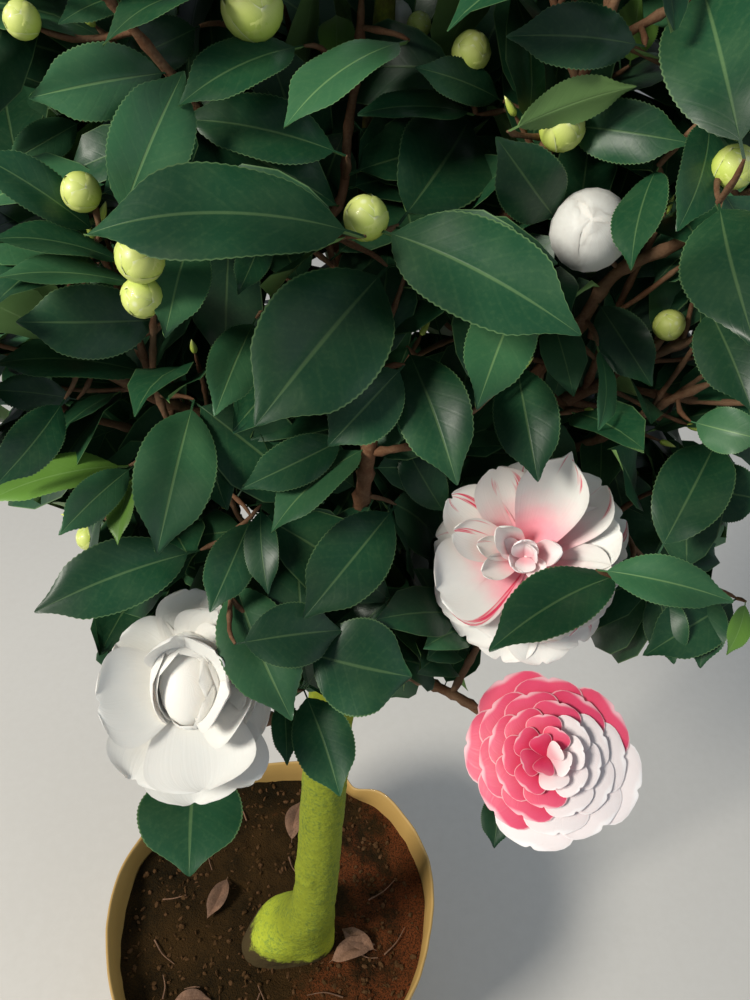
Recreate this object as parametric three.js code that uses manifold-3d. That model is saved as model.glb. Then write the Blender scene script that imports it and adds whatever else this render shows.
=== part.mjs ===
// A camellia shrub in bloom in a soft nursery pot: a mossy trunk that leans from a swollen foot, boughs
// that leave it on all sides, and a crown of leafy masses that carry large blooms and round buds.
// Millimetres, +Z up, front at -Y. The origin is the centre of the pot's flat underside.
import * as THREE from "three";
import { mergeVertices } from "three/addons/utils/BufferGeometryUtils.js";
import Module from "manifold-3d";

const wasm = await Module();
wasm.setup();

const UP = new THREE.Vector3(0, 0, 1);
const GOLDEN_ANGLE = THREE.MathUtils.degToRad(137.5);
const CLEARANCE = 0.3;
const MERGE = 1e-3;
const SLIVER = 0.02;

// The pot: a thin soft wall that tapers to its foot, with a rim turned over into a band.
const POT = {
  height: 300, rimRadius: 200, footRadius: 168, wall: 4, floor: 5, footChamfer: 7, belly: 0.8,
  bandHeight: 27, bandProud: 3, rimRound: 1.5, midHeight: 130, sides: 28, softness: 0.028,
};
const SOIL = {
  belowRim: 38, wallGap: 1.1, lump: 5, lumpSpan: 21, levelRadius: 62, lumpRadius: 105,
  rings: [0.78, 0.52, 0.26],
};

// The trunk, measured up from the soil. Its axis leans. Its foot swells aside and back from that axis,
// and is flatter from front to back than from side to side.
const SOIL_LEVEL = POT.height - SOIL.belowRim;
const TRUNK = {
  footX: 49, footY: -45, leanX: 0.085, leanY: 0.1, height: 1003, radius: 23.5, tipRadius: 4.5,
  taper: 2.4, swellRadius: 32, swellAside: -32, swellBack: 20, swellFlat: 0.3, swellHeight: 76,
  lobes: 0.1, sides: 10, steps: 15, lowerStepsCloser: 1.35,
};

// The crown's outline: an upright oval about the trunk's line, drawn in at the front above its skirt.
const CROWN = {
  bottom: 780, top: 1400, waist: 0.42, reach: 275, frontCut: 0.52, skirtAt: 0.1, skirtSpan: 0.13,
};

// Rings of masses: how many, how high in the crown, how far out, the first one's direction in degrees,
// the stretch of trunk that their boughs leave, and the boughs' radius there.
const RINGS = [
  { name: "lower", count: 5, height: 0.22, share: 0.62, turn: -120, from: 740, to: 860, radius: 9.5 },
  { name: "middle", count: 5, height: 0.5, share: 0.58, turn: -84, from: 905, to: 1030, radius: 8.5 },
  { name: "upper", count: 3, height: 0.76, share: 0.5, turn: -30, from: 1080, to: 1180, radius: 6.5 },
  { name: "top", count: 1, height: 0.93, share: 0, turn: 0 },
];
const BOUGH = { sides: 5, steps: 4, tipShare: 0.6, entry: 14, bendAt: 0.45, bendRise: 0.105 };

const STEM = { length: 120, lift: 0.1, tipShare: 0.58, steps: 3, sides: 4 };
const TWIG = {
  count: 8, first: 0.12, length: 125, shorterAtTip: 0.35, shortest: 28, radius: 2.6, tipRadius: 1.7,
  steps: 2, sides: 3, spread: 62, tipSpread: 28, lift: 0.16, stray: 0.14,
};
const LEAF = {
  length: 92, lengthSpan: 20, widthShare: 0.58, widestAt: 0.44, raise: 4.2, droop: 0.2, lookOut: 0.5,
  lookAlong: 0.3, spacing: 19, first: 0.2, last: 0.985, spreads: [52, 70, 36], turn: 1.3, tries: 15,
  shrink: 0.02,
};
const BUD = { radius: 12, share: 0.28 };

// Free space that leaves and twigs keep: inside their mass's own space, to limbs, and from leaf to limb.
const GAP = { cell: 1.2, limb: 2.5, leaf: 5 };

// Blooms that show from the front, by place, with the way that each faces, and the mass that carries it.
const FRONT_BLOOMS = [
  { mass: "lower_2", at: [232, -150, 908], facing: [-0.1, -0.8, 0.6], radius: 50 },
  { mass: "lower_2", at: [219, -72, 992], facing: [-0.2, -0.85, 0.5], radius: 54 },
  { mass: "lower_1", at: [15, -124, 928], facing: [-0.3, -0.85, 0.35], radius: 52 },
];
// On the other sides, these masses carry one bloom each, at their outer face.
const OTHER_BLOOMS = { masses: ["lower_4", "middle_2", "middle_4", "upper_2"], radius: 48, lookUp: 0.35 };
const BLOOM = { heart: 0.4, heartDepth: 0.8, widestAt: 0.66, raise: 0.1, stalkSteps: 4, stalkBend: 18 };
const PETAL_ROWS = [
  { count: 7, length: 1, width: 0.56, rise: 8, from: -0.2 },
  { count: 5, length: 0.78, width: 0.45, rise: 42, from: -0.05 },
];

const COLOUR = {
  pot: 0xc79a5b, soil: 0x4a2a18, trunk: 0x7d8a2c, bough: 0x6a4a32, foliage: 0x1f4a2e,
};

// Repeatable random numbers from 0 to 1.
function seeded(seed) {
  let state = seed >>> 0;
  return () => {
    state = (state + 0x6d2b79f5) >>> 0;
    let mixed = state;
    mixed = Math.imul(mixed ^ (mixed >>> 15), mixed | 1);
    mixed ^= mixed + Math.imul(mixed ^ (mixed >>> 7), mixed | 61);
    return ((mixed ^ (mixed >>> 14)) >>> 0) / 4294967296;
  };
}

const vector = (x, y, z) => new THREE.Vector3(x, y, z);
const along = (from, direction, distance) => from.clone().addScaledVector(direction, distance);
const radians = THREE.MathUtils.degToRad;

// A closed three.js geometry as a solid that can be joined and cut.
function solidOf(geometry) {
  const bare = new THREE.BufferGeometry().setAttribute("position", geometry.getAttribute("position"));
  bare.setIndex(geometry.index);
  const merged = mergeVertices(bare, MERGE);
  const corners = merged.index.array;
  const kept = [];
  for (let i = 0; i < corners.length; i += 3) {
    const [a, b, c] = corners.slice(i, i + 3);
    if (a !== b && b !== c && c !== a) kept.push(a, b, c);
  }
  return new wasm.Manifold(
    new wasm.Mesh({
      numProp: 3,
      vertProperties: merged.getAttribute("position").array,
      triVerts: new Uint32Array(kept),
    }),
  );
}

function geometryOf(solid) {
  const mesh = solid.getMesh();
  const geometry = new THREE.BufferGeometry();
  geometry.setAttribute("position", new THREE.BufferAttribute(mesh.vertProperties, 3));
  geometry.setIndex(new THREE.BufferAttribute(mesh.triVerts, 1));
  geometry.computeVertexNormals();
  return geometry;
}

function largestBody(solid) {
  return solid.decompose().reduce((best, body) => (body.volume() > best.volume() ? body : best));
}

// The one body of a joined solid. Slivers are smoothed away, and the scraps and pockets that this leaves
// are dropped.
function tidied(solid) {
  const body = largestBody(solid.simplify(SLIVER));
  return geometryOf(largestBody(solidOf(geometryOf(body))));
}

// Moves each point of a geometry.
function reshape(geometry, place) {
  const position = geometry.getAttribute("position");
  const point = new THREE.Vector3();
  for (let i = 0; i < position.count; i += 1) {
    const moved = place(point.fromBufferAttribute(position, i));
    position.setXYZ(i, moved.x, moved.y, moved.z);
  }
  return geometry;
}

// A tapering round limb along a curve. The cylinder's own height is the way along the curve.
function limbGeometry(curve, radiusAt, sides, steps) {
  const frames = curve.computeFrenetFrames(steps, false);
  const rod = new THREE.CylinderGeometry(1, 1, 1, sides, steps);
  return reshape(rod, (point) => {
    const step = Math.round((point.y + 0.5) * steps);
    const share = step / steps;
    const radius = radiusAt(share);
    return curve.getPointAt(share)
      .addScaledVector(frames.normals[step], point.z * radius)
      .addScaledVector(frames.binormals[step], point.x * radius);
  });
}

// The pot and its soil.

function softWall(point) {
  const turn = Math.atan2(point.y, point.x);
  const wave = 0.6 * Math.sin(2 * turn + 0.9) + 0.3 * Math.sin(3 * turn - 0.5) + 0.12 * Math.sin(7 * turn);
  const height = Math.max(0, point.z / POT.height);
  const stretch = 1 + POT.softness * wave * height;
  return vector(point.x * stretch, point.y * stretch, point.z);
}

function wallRadius(z) {
  return POT.footRadius + (POT.rimRadius - POT.bandProud - POT.footRadius) * (z / POT.height) ** POT.belly;
}

// A profile of [radius, height] points, turned about the upright axis.
function turned(profile) {
  const lathe = new THREE.LatheGeometry(profile.map(([r, z]) => new THREE.Vector2(r, z)), POT.sides);
  return lathe.rotateX(Math.PI / 2);
}

const INNER_HEIGHTS = [POT.floor, POT.midHeight, SOIL_LEVEL];

function potGeometry() {
  const band = POT.height - POT.bandHeight;
  const outside = [POT.footChamfer, POT.midHeight, band].map((z) => [wallRadius(z), z]);
  const rim = [
    [wallRadius(band) + POT.bandProud, band + POT.rimRound], [POT.rimRadius, POT.height - POT.rimRound],
    [POT.rimRadius - POT.rimRound, POT.height], [POT.rimRadius - POT.bandProud - POT.wall, POT.height],
  ];
  const inside = INNER_HEIGHTS.map((z) => [wallRadius(z) - POT.wall, z]).reverse();
  const foot = [[0, 0], [POT.footRadius - POT.footChamfer, 0]];
  return reshape(turned([...foot, ...outside, ...rim, ...inside, [0, POT.floor]]), softWall);
}

function soilGeometry() {
  const fit = (z) => wallRadius(z) - POT.wall - SOIL.wallGap;
  const side = INNER_HEIGHTS.map((z) => [fit(z), z === POT.floor ? z + CLEARANCE : z]);
  const topRadius = fit(SOIL_LEVEL);
  const rings = SOIL.rings.map((share) => [topRadius * share, SOIL_LEVEL]);
  const profile = [[0, POT.floor + CLEARANCE], ...side, ...rings, [0, SOIL_LEVEL]];
  const foot = trunkAxis(0);
  return reshape(turned(profile), (point) => {
    const moved = softWall(point);
    const atEdge = Math.hypot(point.x, point.y) > topRadius * 0.99;
    if (point.z >= SOIL_LEVEL && !atEdge) {
      const away = Math.hypot(point.x - foot.x, point.y - foot.y);
      const lumpy = SOIL.lump * THREE.MathUtils.smoothstep(away, SOIL.levelRadius, SOIL.lumpRadius);
      moved.z += lumpy * Math.sin(point.x / SOIL.lumpSpan + 1) * Math.cos(point.y / SOIL.lumpSpan);
    }
    return moved;
  });
}

// The trunk. Its sections are level, so that its foot is a flat cut on the soil.

function swell(height) {
  return Math.exp(-((height / TRUNK.swellHeight) ** 2));
}

function leanLine(z) {
  const height = z - SOIL_LEVEL;
  return vector(TRUNK.footX + TRUNK.leanX * height, TRUNK.footY + TRUNK.leanY * height, z);
}

function trunkAxis(height) {
  const centre = leanLine(SOIL_LEVEL + height);
  centre.x += TRUNK.swellAside * swell(height);
  centre.y += TRUNK.swellBack * swell(height);
  return centre;
}

function trunkRadius(height) {
  const share = Math.min(1, height / TRUNK.height);
  const bare = TRUNK.tipRadius + (TRUNK.radius - TRUNK.tipRadius) * (1 - share ** TRUNK.taper);
  return bare + TRUNK.swellRadius * swell(height);
}

function trunkGeometry(extra) {
  const rod = new THREE.CylinderGeometry(1, 1, 1, TRUNK.sides, TRUNK.steps);
  return reshape(rod, (point) => {
    const height = TRUNK.height * (point.y + 0.5) ** TRUNK.lowerStepsCloser;
    const turn = Math.atan2(point.z, point.x);
    const lobes = 1 + TRUNK.lobes * swell(height) * Math.sin(3 * turn + 0.6);
    const radius = Math.hypot(point.x, point.z) * (trunkRadius(height) * lobes + extra);
    const depth = radius * (1 - TRUNK.swellFlat * swell(height));
    const centre = trunkAxis(height);
    return vector(
      centre.x + radius * Math.cos(turn), centre.y - depth * Math.sin(turn), centre.z + CLEARANCE,
    );
  });
}

// The crown's space, shared out so that each mass has the part that is nearest its own middle.

function crownReach(z, azimuth) {
  const height = (z - CROWN.bottom) / (CROWN.top - CROWN.bottom);
  if (height <= 0 || height >= 1) return 0;
  const fromWaist = (height - CROWN.waist) / (height < CROWN.waist ? CROWN.waist : 1 - CROWN.waist);
  const skirt = Math.exp(-(((height - CROWN.skirtAt) / CROWN.skirtSpan) ** 2));
  const front = Math.max(0, -Math.sin(azimuth)) ** 2;
  return CROWN.reach * Math.sqrt(1 - fromWaist ** 2) * (1 - front * CROWN.frontCut * (1 - skirt));
}

function inCrown(point) {
  const middle = leanLine(point.z);
  const [x, y] = [point.x - middle.x, point.y - middle.y];
  return Math.hypot(x, y) < crownReach(point.z, Math.atan2(y, x));
}

function massCentres() {
  const masses = [];
  for (const ring of RINGS) {
    const z = CROWN.bottom + (CROWN.top - CROWN.bottom) * ring.height;
    for (let i = 0; i < ring.count; i += 1) {
      const azimuth = radians(ring.turn + (360 / ring.count) * i);
      const out = vector(Math.cos(azimuth), Math.sin(azimuth), 0);
      const middle = along(leanLine(z), out, crownReach(z, azimuth) * ring.share);
      const name = ring.count > 1 ? `${ring.name}_${i + 1}` : ring.name;
      masses.push({ name, ring, index: i, out, middle, seed: 101 + 17 * masses.length });
    }
  }
  return masses;
}

function inCell(point, mass, margin) {
  return masses.every((other) => {
    if (other === mass) return true;
    const between = other.middle.clone().sub(mass.middle);
    const halfway = mass.middle.clone().add(other.middle).multiplyScalar(0.5);
    return halfway.sub(point).dot(between.normalize()) > margin;
  });
}

const inSpace = (point, mass, margin) => inCrown(point) && inCell(point, mass, margin);

// What leaves and twigs keep clear of: rods with a radius at each end, and balls round the blooms.

const rods = [];
const balls = [];

function addRods(points, radiusAt, owner) {
  for (let i = 0; i + 1 < points.length; i += 1) {
    const share = i / (points.length - 1);
    rods.push({ a: points[i], b: points[i + 1], radius: radiusAt(share), owner });
  }
}

function distanceToRod(point, rod) {
  const closest = new THREE.Line3(rod.a, rod.b).closestPointToPoint(point, true, new THREE.Vector3());
  return closest.distanceTo(point);
}

function distanceBetween(a, b) {
  let least = Infinity;
  for (let i = 0; i <= 6; i += 1) {
    least = Math.min(least, distanceToRod(a.a.clone().lerp(a.b, i / 6), b));
    least = Math.min(least, distanceToRod(b.a.clone().lerp(b.b, i / 6), a));
  }
  return least;
}

// The boughs. Each leaves the trunk below its mass and ends just inside that mass's space.

function growBough(mass) {
  const { ring } = mass;
  const rank = (mass.index * 2) % ring.count;
  const z = ring.from + (ring.to - ring.from) * (rank / (ring.count - 1));
  const foot = leanLine(z);
  const reach = mass.middle.distanceTo(foot);
  const bend = along(along(foot, mass.out, reach * BOUGH.bendAt), UP, reach * BOUGH.bendRise);
  const whole = new THREE.QuadraticBezierCurve3(foot, bend, mass.middle);
  let end = 0.35;
  while (end < 0.85 && !inSpace(whole.getPointAt(end), mass, BOUGH.entry)) end += 0.01;
  mass.bough = new THREE.CatmullRomCurve3([0, 0.33, 0.67, 1].map((share) => whole.getPointAt(end * share)));
  mass.footRadius = ring.radius * BOUGH.tipShare;
  mass.boughRadius = (share) => ring.radius * (1 - share * (1 - BOUGH.tipShare));
  mass.foot = mass.bough.getPointAt(1);
  mass.heading = mass.bough.getTangentAt(1);
  mass.support = `bough_${mass.name}`;
  addRods(mass.bough.getSpacedPoints(BOUGH.steps), mass.boughRadius, mass.support);
}

function startTopMass(mass) {
  mass.foot = trunkAxis(TRUNK.height).setZ(SOIL_LEVEL + TRUNK.height + CLEARANCE);
  mass.heading = UP.clone();
  mass.footRadius = TRUNK.tipRadius;
  mass.support = "trunk";
}

// Stems and twigs. A shoot's points bend towards the light and stray a little from step to step.

function shootPoints(foot, heading, length, steps, lift, random) {
  const points = [foot.clone()];
  const direction = heading.clone();
  for (let i = 0; i < steps; i += 1) {
    points.push(along(points[i], direction, length / steps));
    const stray = vector(random() - 0.5, random() - 0.5, random() - 0.5).multiplyScalar(2 * TWIG.stray);
    direction.addScaledVector(UP, lift).add(stray).normalize();
  }
  return points;
}

function growStem(mass) {
  const random = seeded(mass.seed);
  const start = along(mass.foot, mass.heading, CLEARANCE);
  const points = shootPoints(start, mass.heading, STEM.length, STEM.steps, STEM.lift, random);
  const radiusAt = (share) => mass.footRadius * (1 - share * STEM.tipShare);
  keepShoot(mass, points, radiusAt, 0, mass.support);
}

// Cuts a shoot back to the mass's own space, and keeps it where enough of it is left.
function keepShoot(mass, points, radiusAt, shortest, support) {
  const kept = [points[0]];
  let length = 0;
  for (let i = 1; i < points.length; i += 1) {
    const rod = { a: points[i - 1], b: points[i] };
    const blocked = rods.some(
      (other) => other.owner !== mass.name && !(other.owner === support && length === 0)
        && distanceBetween(rod, other) < other.radius + radiusAt(0) + GAP.limb,
    ) || balls.some((ball) => distanceToRod(ball.centre, rod) < ball.radius + GAP.limb);
    if (blocked || !inSpace(points[i], mass, radiusAt(0) + GAP.limb)) break;
    kept.push(points[i]);
    length += points[i].distanceTo(points[i - 1]);
  }
  if (kept.length < 2 || length < shortest) return null;
  const shoot = { points: kept, radiusAt, length, curve: new THREE.CatmullRomCurve3(kept) };
  mass.shoots.push(shoot);
  addRods(kept, radiusAt, mass.name);
  return shoot;
}

// A direction that leaves an axis at an angle, turned round the axis by an azimuth.
function aside(axis, angle, azimuth) {
  const side = vector(-axis.y, axis.x, 0);
  if (side.lengthSq() < 1e-6) side.set(1, 0, 0);
  side.normalize().applyAxisAngle(axis, azimuth);
  return axis.clone().multiplyScalar(Math.cos(angle)).addScaledVector(side, Math.sin(angle));
}

function growTwigs(mass) {
  const random = seeded(mass.seed + 1);
  const stem = mass.shoots[0];
  for (let i = 0; i < TWIG.count; i += 1) {
    const share = TWIG.first + ((1 - TWIG.first) * (i + 0.5)) / TWIG.count;
    const foot = stem.curve.getPointAt(share);
    const angle = radians(THREE.MathUtils.lerp(TWIG.spread, TWIG.tipSpread, share));
    const heading = aside(stem.curve.getTangentAt(share), angle, GOLDEN_ANGLE * i + random());
    const length = TWIG.length * (1 - TWIG.shorterAtTip * share) * (0.9 + 0.3 * random());
    const points = shootPoints(foot, heading, length, TWIG.steps, TWIG.lift, random);
    const radiusAt = (part) => THREE.MathUtils.lerp(TWIG.radius, TWIG.tipRadius, part);
    keepShoot(mass, points, radiusAt, TWIG.shortest);
  }
}

// The stalk that carries a bloom runs from its mass's stem into the back of the bloom's heart.
function growStalk(mass, bloom) {
  const foot = mass.shoots[0].curve.getPointAt(0.75);
  const bend = along(foot.clone().lerp(bloom.centre, 0.5), bloom.facing, -BLOOM.stalkBend);
  const curve = new THREE.QuadraticBezierCurve3(foot, bend, bloom.centre);
  const points = curve.getSpacedPoints(BLOOM.stalkSteps);
  const radiusAt = () => TWIG.radius;
  mass.shoots.push({ points, radiusAt, length: curve.getLength(), curve });
  addRods(points, radiusAt, mass.name);
}

function placeBlooms() {
  for (const { mass, at, facing, radius } of FRONT_BLOOMS) {
    const bloom = { centre: vector(...at), facing: vector(...facing).normalize(), radius };
    masses.find((one) => one.name === mass).blooms.push(bloom);
  }
  for (const name of OTHER_BLOOMS.masses) {
    const mass = masses.find((one) => one.name === name);
    const { radius } = OTHER_BLOOMS;
    const facing = mass.out.clone().addScaledVector(UP, OTHER_BLOOMS.lookUp).normalize();
    const centre = mass.middle.clone();
    while (inSpace(along(centre, facing, radius / 2), mass, radius / 2)) centre.addScaledVector(facing, 4);
    mass.blooms.push({ centre, facing, radius });
  }
  for (const mass of masses) {
    for (const bloom of mass.blooms) balls.push({ centre: bloom.centre, radius: bloom.radius * 0.96 });
  }
}

// Leaves. A blade has four corners: its foot, which is sunk in the twig, its two edges where it is
// widest, and its tip. The edges stand a little above the line from foot to tip, which is its midrib.

function bladeBetween(foot, tip, face, width, widestAt, raise) {
  const heading = tip.clone().sub(foot).normalize();
  const across = face.clone().cross(heading).normalize();
  const normal = heading.clone().cross(across);
  const widest = along(foot.clone().lerp(tip, widestAt), normal, raise);
  return {
    foot,
    tip,
    left: along(widest, across, width / 2),
    right: along(widest, across, -width / 2),
    middle: foot.clone().lerp(tip, 0.5),
    reach: foot.distanceTo(tip) * 0.56,
  };
}

function bladeGeometry({ foot, left, right, tip }) {
  const geometry = new THREE.BufferGeometry().setFromPoints([foot, left, right, tip]);
  geometry.setIndex([0, 2, 1, 3, 1, 2, 0, 1, 3, 0, 3, 2]);
  return geometry;
}

function bladeTriangles({ foot, tip, left, right }) {
  return [[foot, left, tip], [foot, tip, right]];
}

function bladeEdges({ foot, tip, left, right }) {
  return [[foot, left], [left, tip], [tip, right], [right, foot], [foot, tip]];
}

function bladeSamples({ foot, tip, left, right }) {
  const samples = [];
  for (const edge of [left, right]) {
    for (const share of [0.35, 0.7, 1]) {
      samples.push(foot.clone().lerp(edge, share), tip.clone().lerp(edge, share));
      samples.push(foot.clone().lerp(tip, 0.3 + 0.35 * share).lerp(edge, 0.4));
    }
  }
  return [...samples, tip];
}

function crosses(from, to, [a, b, c]) {
  const ray = new THREE.Ray(from, to.clone().sub(from).normalize());
  const hit = ray.intersectTriangle(a, b, c, false, new THREE.Vector3());
  return hit !== null && hit.distanceTo(from) < from.distanceTo(to);
}

function bladesCross(one, other) {
  if (one.middle.distanceTo(other.middle) > one.reach + other.reach) return false;
  const edgeCuts = (blade, target) => bladeEdges(blade).some(
    ([a, b]) => bladeTriangles(target).some((face) => crosses(a, b, face)),
  );
  return edgeCuts(one, other) || edgeCuts(other, one);
}

function bladeFits(mass, blade, carrier) {
  const { tip, left, right } = blade;
  if (![tip, left, right].every((point) => inSpace(point, mass, GAP.cell))) return false;
  const samples = bladeSamples(blade);
  const inBall = (point) => balls.some((ball) => point.distanceTo(ball.centre) < ball.radius + GAP.cell);
  if (samples.some(inBall)) return false;
  const touching = rods.some((rod) => {
    if (carrier.points.includes(rod.a)) return false;
    if (distanceToRod(blade.middle, rod) > blade.reach + rod.radius + GAP.leaf) return false;
    return samples.some((point) => distanceToRod(point, rod) < rod.radius + GAP.leaf)
      || bladeTriangles(blade).some((face) => crosses(rod.a, rod.b, face));
  });
  return !touching && !mass.blades.some((other) => bladesCross(blade, other));
}

function growLeaves(mass) {
  const random = seeded(mass.seed + 2);
  for (const shoot of mass.shoots) {
    const leafy = shoot.length * (LEAF.last - LEAF.first);
    const count = Math.max(2, Math.round(leafy / LEAF.spacing) + 1);
    for (let i = 0; i < count; i += 1) {
      const share = LEAF.first + ((LEAF.last - LEAF.first) * i) / (count - 1);
      const foot = shoot.curve.getPointAt(share);
      const axis = shoot.curve.getTangentAt(share);
      const length = LEAF.length + LEAF.lengthSpan * (random() - 0.5);
      const first = GOLDEN_ANGLE * i + random();
      for (let attempt = 0; attempt < LEAF.tries; attempt += 1) {
        const angle = radians(LEAF.spreads[attempt % LEAF.spreads.length]);
        const heading = aside(axis, angle, first + attempt * LEAF.turn).addScaledVector(UP, -LEAF.droop);
        const face = along(along(UP, mass.out, LEAF.lookOut), axis, LEAF.lookAlong);
        const size = length * (1 - LEAF.shrink * attempt);
        const tip = along(foot, heading.normalize(), size);
        const blade = bladeBetween(foot, tip, face, size * LEAF.widthShare, LEAF.widestAt, LEAF.raise);
        if (bladeFits(mass, blade, shoot)) {
          mass.blades.push(blade);
          break;
        }
      }
    }
    const end = shoot.points[shoot.points.length - 1];
    const budCentre = along(end, shoot.curve.getTangentAt(1), BUD.radius * 0.7);
    if (random() < BUD.share && inSpace(budCentre, mass, BUD.radius + GAP.cell)) mass.buds.push(budCentre);
  }
}

// A full bloom: a low heart, and rows of broad petals that open from it.
function bloomGeometries({ centre, facing, radius }) {
  const tilt = new THREE.Quaternion().setFromUnitVectors(UP, facing);
  const heart = new THREE.IcosahedronGeometry(radius * BLOOM.heart, 0);
  heart.scale(1, 1, BLOOM.heartDepth).applyQuaternion(tilt).translate(...centre.toArray());
  const petals = PETAL_ROWS.flatMap((row, number) => Array.from({ length: row.count }, (_, i) => {
    const turn = (2 * Math.PI * (i + number / 2)) / row.count;
    const foot = along(centre, facing, radius * row.from);
    const tip = along(foot, aside(facing, Math.PI / 2 - radians(row.rise), turn), radius * row.length);
    return bladeGeometry(
      bladeBetween(foot, tip, facing, radius * row.width, BLOOM.widestAt, radius * BLOOM.raise),
    );
  }));
  return [heart, ...petals];
}

function massGeometry(mass) {
  const woods = mass.shoots.map(({ curve, radiusAt, points }, number) => (
    limbGeometry(curve, radiusAt, number === 0 ? STEM.sides : TWIG.sides, points.length - 1)
  ));
  const leaves = mass.blades.map(bladeGeometry);
  const bud = new THREE.IcosahedronGeometry(BUD.radius, 0);
  const buds = mass.buds.map((centre) => bud.clone().translate(...centre.toArray()));
  const blooms = mass.blooms.flatMap(bloomGeometries);
  const joined = wasm.Manifold.union([...woods, ...leaves, ...buds, ...blooms].map(solidOf));
  return tidied(joined);
}

function boughGeometry(mass, trunkCutter) {
  const limb = limbGeometry(mass.bough, mass.boughRadius, BOUGH.sides, BOUGH.steps);
  return tidied(solidOf(limb).subtract(trunkCutter));
}

// The plant is laid out first, from the trunk to the leaves, and then made solid.

const masses = massCentres();
for (const mass of masses) Object.assign(mass, { shoots: [], blades: [], buds: [], blooms: [] });
const trunkPoints = Array.from({ length: 25 }, (_, i) => trunkAxis((TRUNK.height * i) / 24));
addRods(trunkPoints, (share) => trunkRadius(share * TRUNK.height), "trunk");
for (const mass of masses) {
  if (mass.ring.count > 1) growBough(mass);
  else startTopMass(mass);
}
for (const mass of masses) growStem(mass);
placeBlooms();
for (const mass of masses) mass.blooms.forEach((bloom) => growStalk(mass, bloom));
for (const mass of masses) growTwigs(mass);
for (const mass of masses) growLeaves(mass);

const shrub = new THREE.Group();

function addPiece(name, geometry, colour, roughness) {
  const material = new THREE.MeshStandardMaterial({ color: colour, roughness, metalness: 0 });
  const mesh = new THREE.Mesh(geometry, material);
  mesh.name = name;
  shrub.add(mesh);
}

addPiece("pot", potGeometry(), COLOUR.pot, 0.6);
addPiece("soil", soilGeometry(), COLOUR.soil, 0.95);
addPiece("trunk", trunkGeometry(0), COLOUR.trunk, 0.85);
const trunkCutter = solidOf(trunkGeometry(CLEARANCE));
for (const mass of masses) {
  if (mass.bough) addPiece(`bough_${mass.name}`, boughGeometry(mass, trunkCutter), COLOUR.bough, 0.8);
  addPiece(`foliage_${mass.name}`, massGeometry(mass), COLOUR.foliage, 0.4);
}

export default shrub;
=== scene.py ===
"""A camellia shrub in bloom in a soft nursery pot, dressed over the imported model.

The limbs and leaves grow by the model's own rule, carried on to finer twigs. The leaves, buds and blooms
that the photograph shows are set where it shows them. Metres, +Z up, front at -Y.
"""
import math
from collections import namedtuple
from functools import lru_cache
from types import SimpleNamespace as Values

import bpy
import numpy as np
from bpy.props import FloatProperty, FloatVectorProperty, IntProperty, PointerProperty
from mathutils import Matrix, Vector, noise
from mathutils.geometry import intersect_ray_tri


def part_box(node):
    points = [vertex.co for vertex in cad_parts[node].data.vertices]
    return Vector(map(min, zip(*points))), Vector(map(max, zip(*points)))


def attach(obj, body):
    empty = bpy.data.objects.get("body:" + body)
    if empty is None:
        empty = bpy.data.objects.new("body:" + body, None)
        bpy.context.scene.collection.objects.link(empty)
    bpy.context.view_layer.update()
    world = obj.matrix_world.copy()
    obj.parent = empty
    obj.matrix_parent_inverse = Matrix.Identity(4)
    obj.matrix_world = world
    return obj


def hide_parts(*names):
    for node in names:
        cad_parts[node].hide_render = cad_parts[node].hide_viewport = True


bl_info = {
    "name": "Camellia Shrub",
    "version": (1, 0, 0),
    "blender": (4, 5, 0),
    "location": "3D View > Sidebar > Camellia",
    "description": "Bark, leaves, buds, blooms, pot and soil for the packed camellia shrub",
    "category": "Add Mesh",
}

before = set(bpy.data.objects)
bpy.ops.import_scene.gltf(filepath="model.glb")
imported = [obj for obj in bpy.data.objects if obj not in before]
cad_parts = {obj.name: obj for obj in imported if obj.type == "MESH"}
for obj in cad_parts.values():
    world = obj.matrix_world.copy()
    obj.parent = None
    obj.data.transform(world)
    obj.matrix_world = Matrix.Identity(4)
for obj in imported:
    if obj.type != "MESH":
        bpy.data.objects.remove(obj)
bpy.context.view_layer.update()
BOUGH_NODES = sorted(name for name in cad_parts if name.startswith("bough"))
FOLIAGE_NODES = sorted(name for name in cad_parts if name.startswith("foliage"))

UP = Vector((0, 0, 1))
GOLDEN_ANGLE = math.radians(137.5)
CLEARANCE = 0.0003
PATH_STEP = 0.004
POT_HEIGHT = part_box("pot")[1].z
SOIL_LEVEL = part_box("trunk")[0].z - CLEARANCE
TRUNK_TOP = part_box("trunk")[1].z

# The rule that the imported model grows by, in metres.
POT = Values(
    rim_radius=0.2, foot_radius=0.168, belly=0.8, band_height=0.027, band_proud=0.003, foot_chamfer=0.007,
    softness=0.028, floor=0.005,
)
TRUNK = Values(
    foot_x=0.049, foot_y=-0.045, lean_x=0.085, lean_y=0.1, radius=0.0235, tip_radius=0.0045, taper=2.4,
    swell_radius=0.032, swell_aside=-0.032, swell_back=0.02, swell_flat=0.3, swell_height=0.076, lobes=0.1,
)
CROWN = Values(
    bottom=0.78, top=1.4, waist=0.42, reach=0.275, front_cut=0.52, skirt_at=0.1, skirt_span=0.13,
)
Ring = namedtuple("Ring", "name count height share turn lowest highest radius")
RINGS = [
    Ring("lower", 5, 0.22, 0.62, -120, 0.74, 0.86, 0.0095),
    Ring("middle", 5, 0.5, 0.58, -84, 0.905, 1.03, 0.0085),
    Ring("upper", 3, 0.76, 0.5, -30, 1.08, 1.18, 0.0065),
    Ring("top", 1, 0.93, 0, 0, 0, 0, 0),
]
BOUGH = Values(
    tip_share=0.6, entry=0.014, bend_at=0.45, bend_rise=0.105, shortest=0.35, longest=0.85, step=0.01,
    spacing=0.02,
)
STEM = Values(length=0.12, lift=0.1, tip_share=0.58, steps=3)
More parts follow.
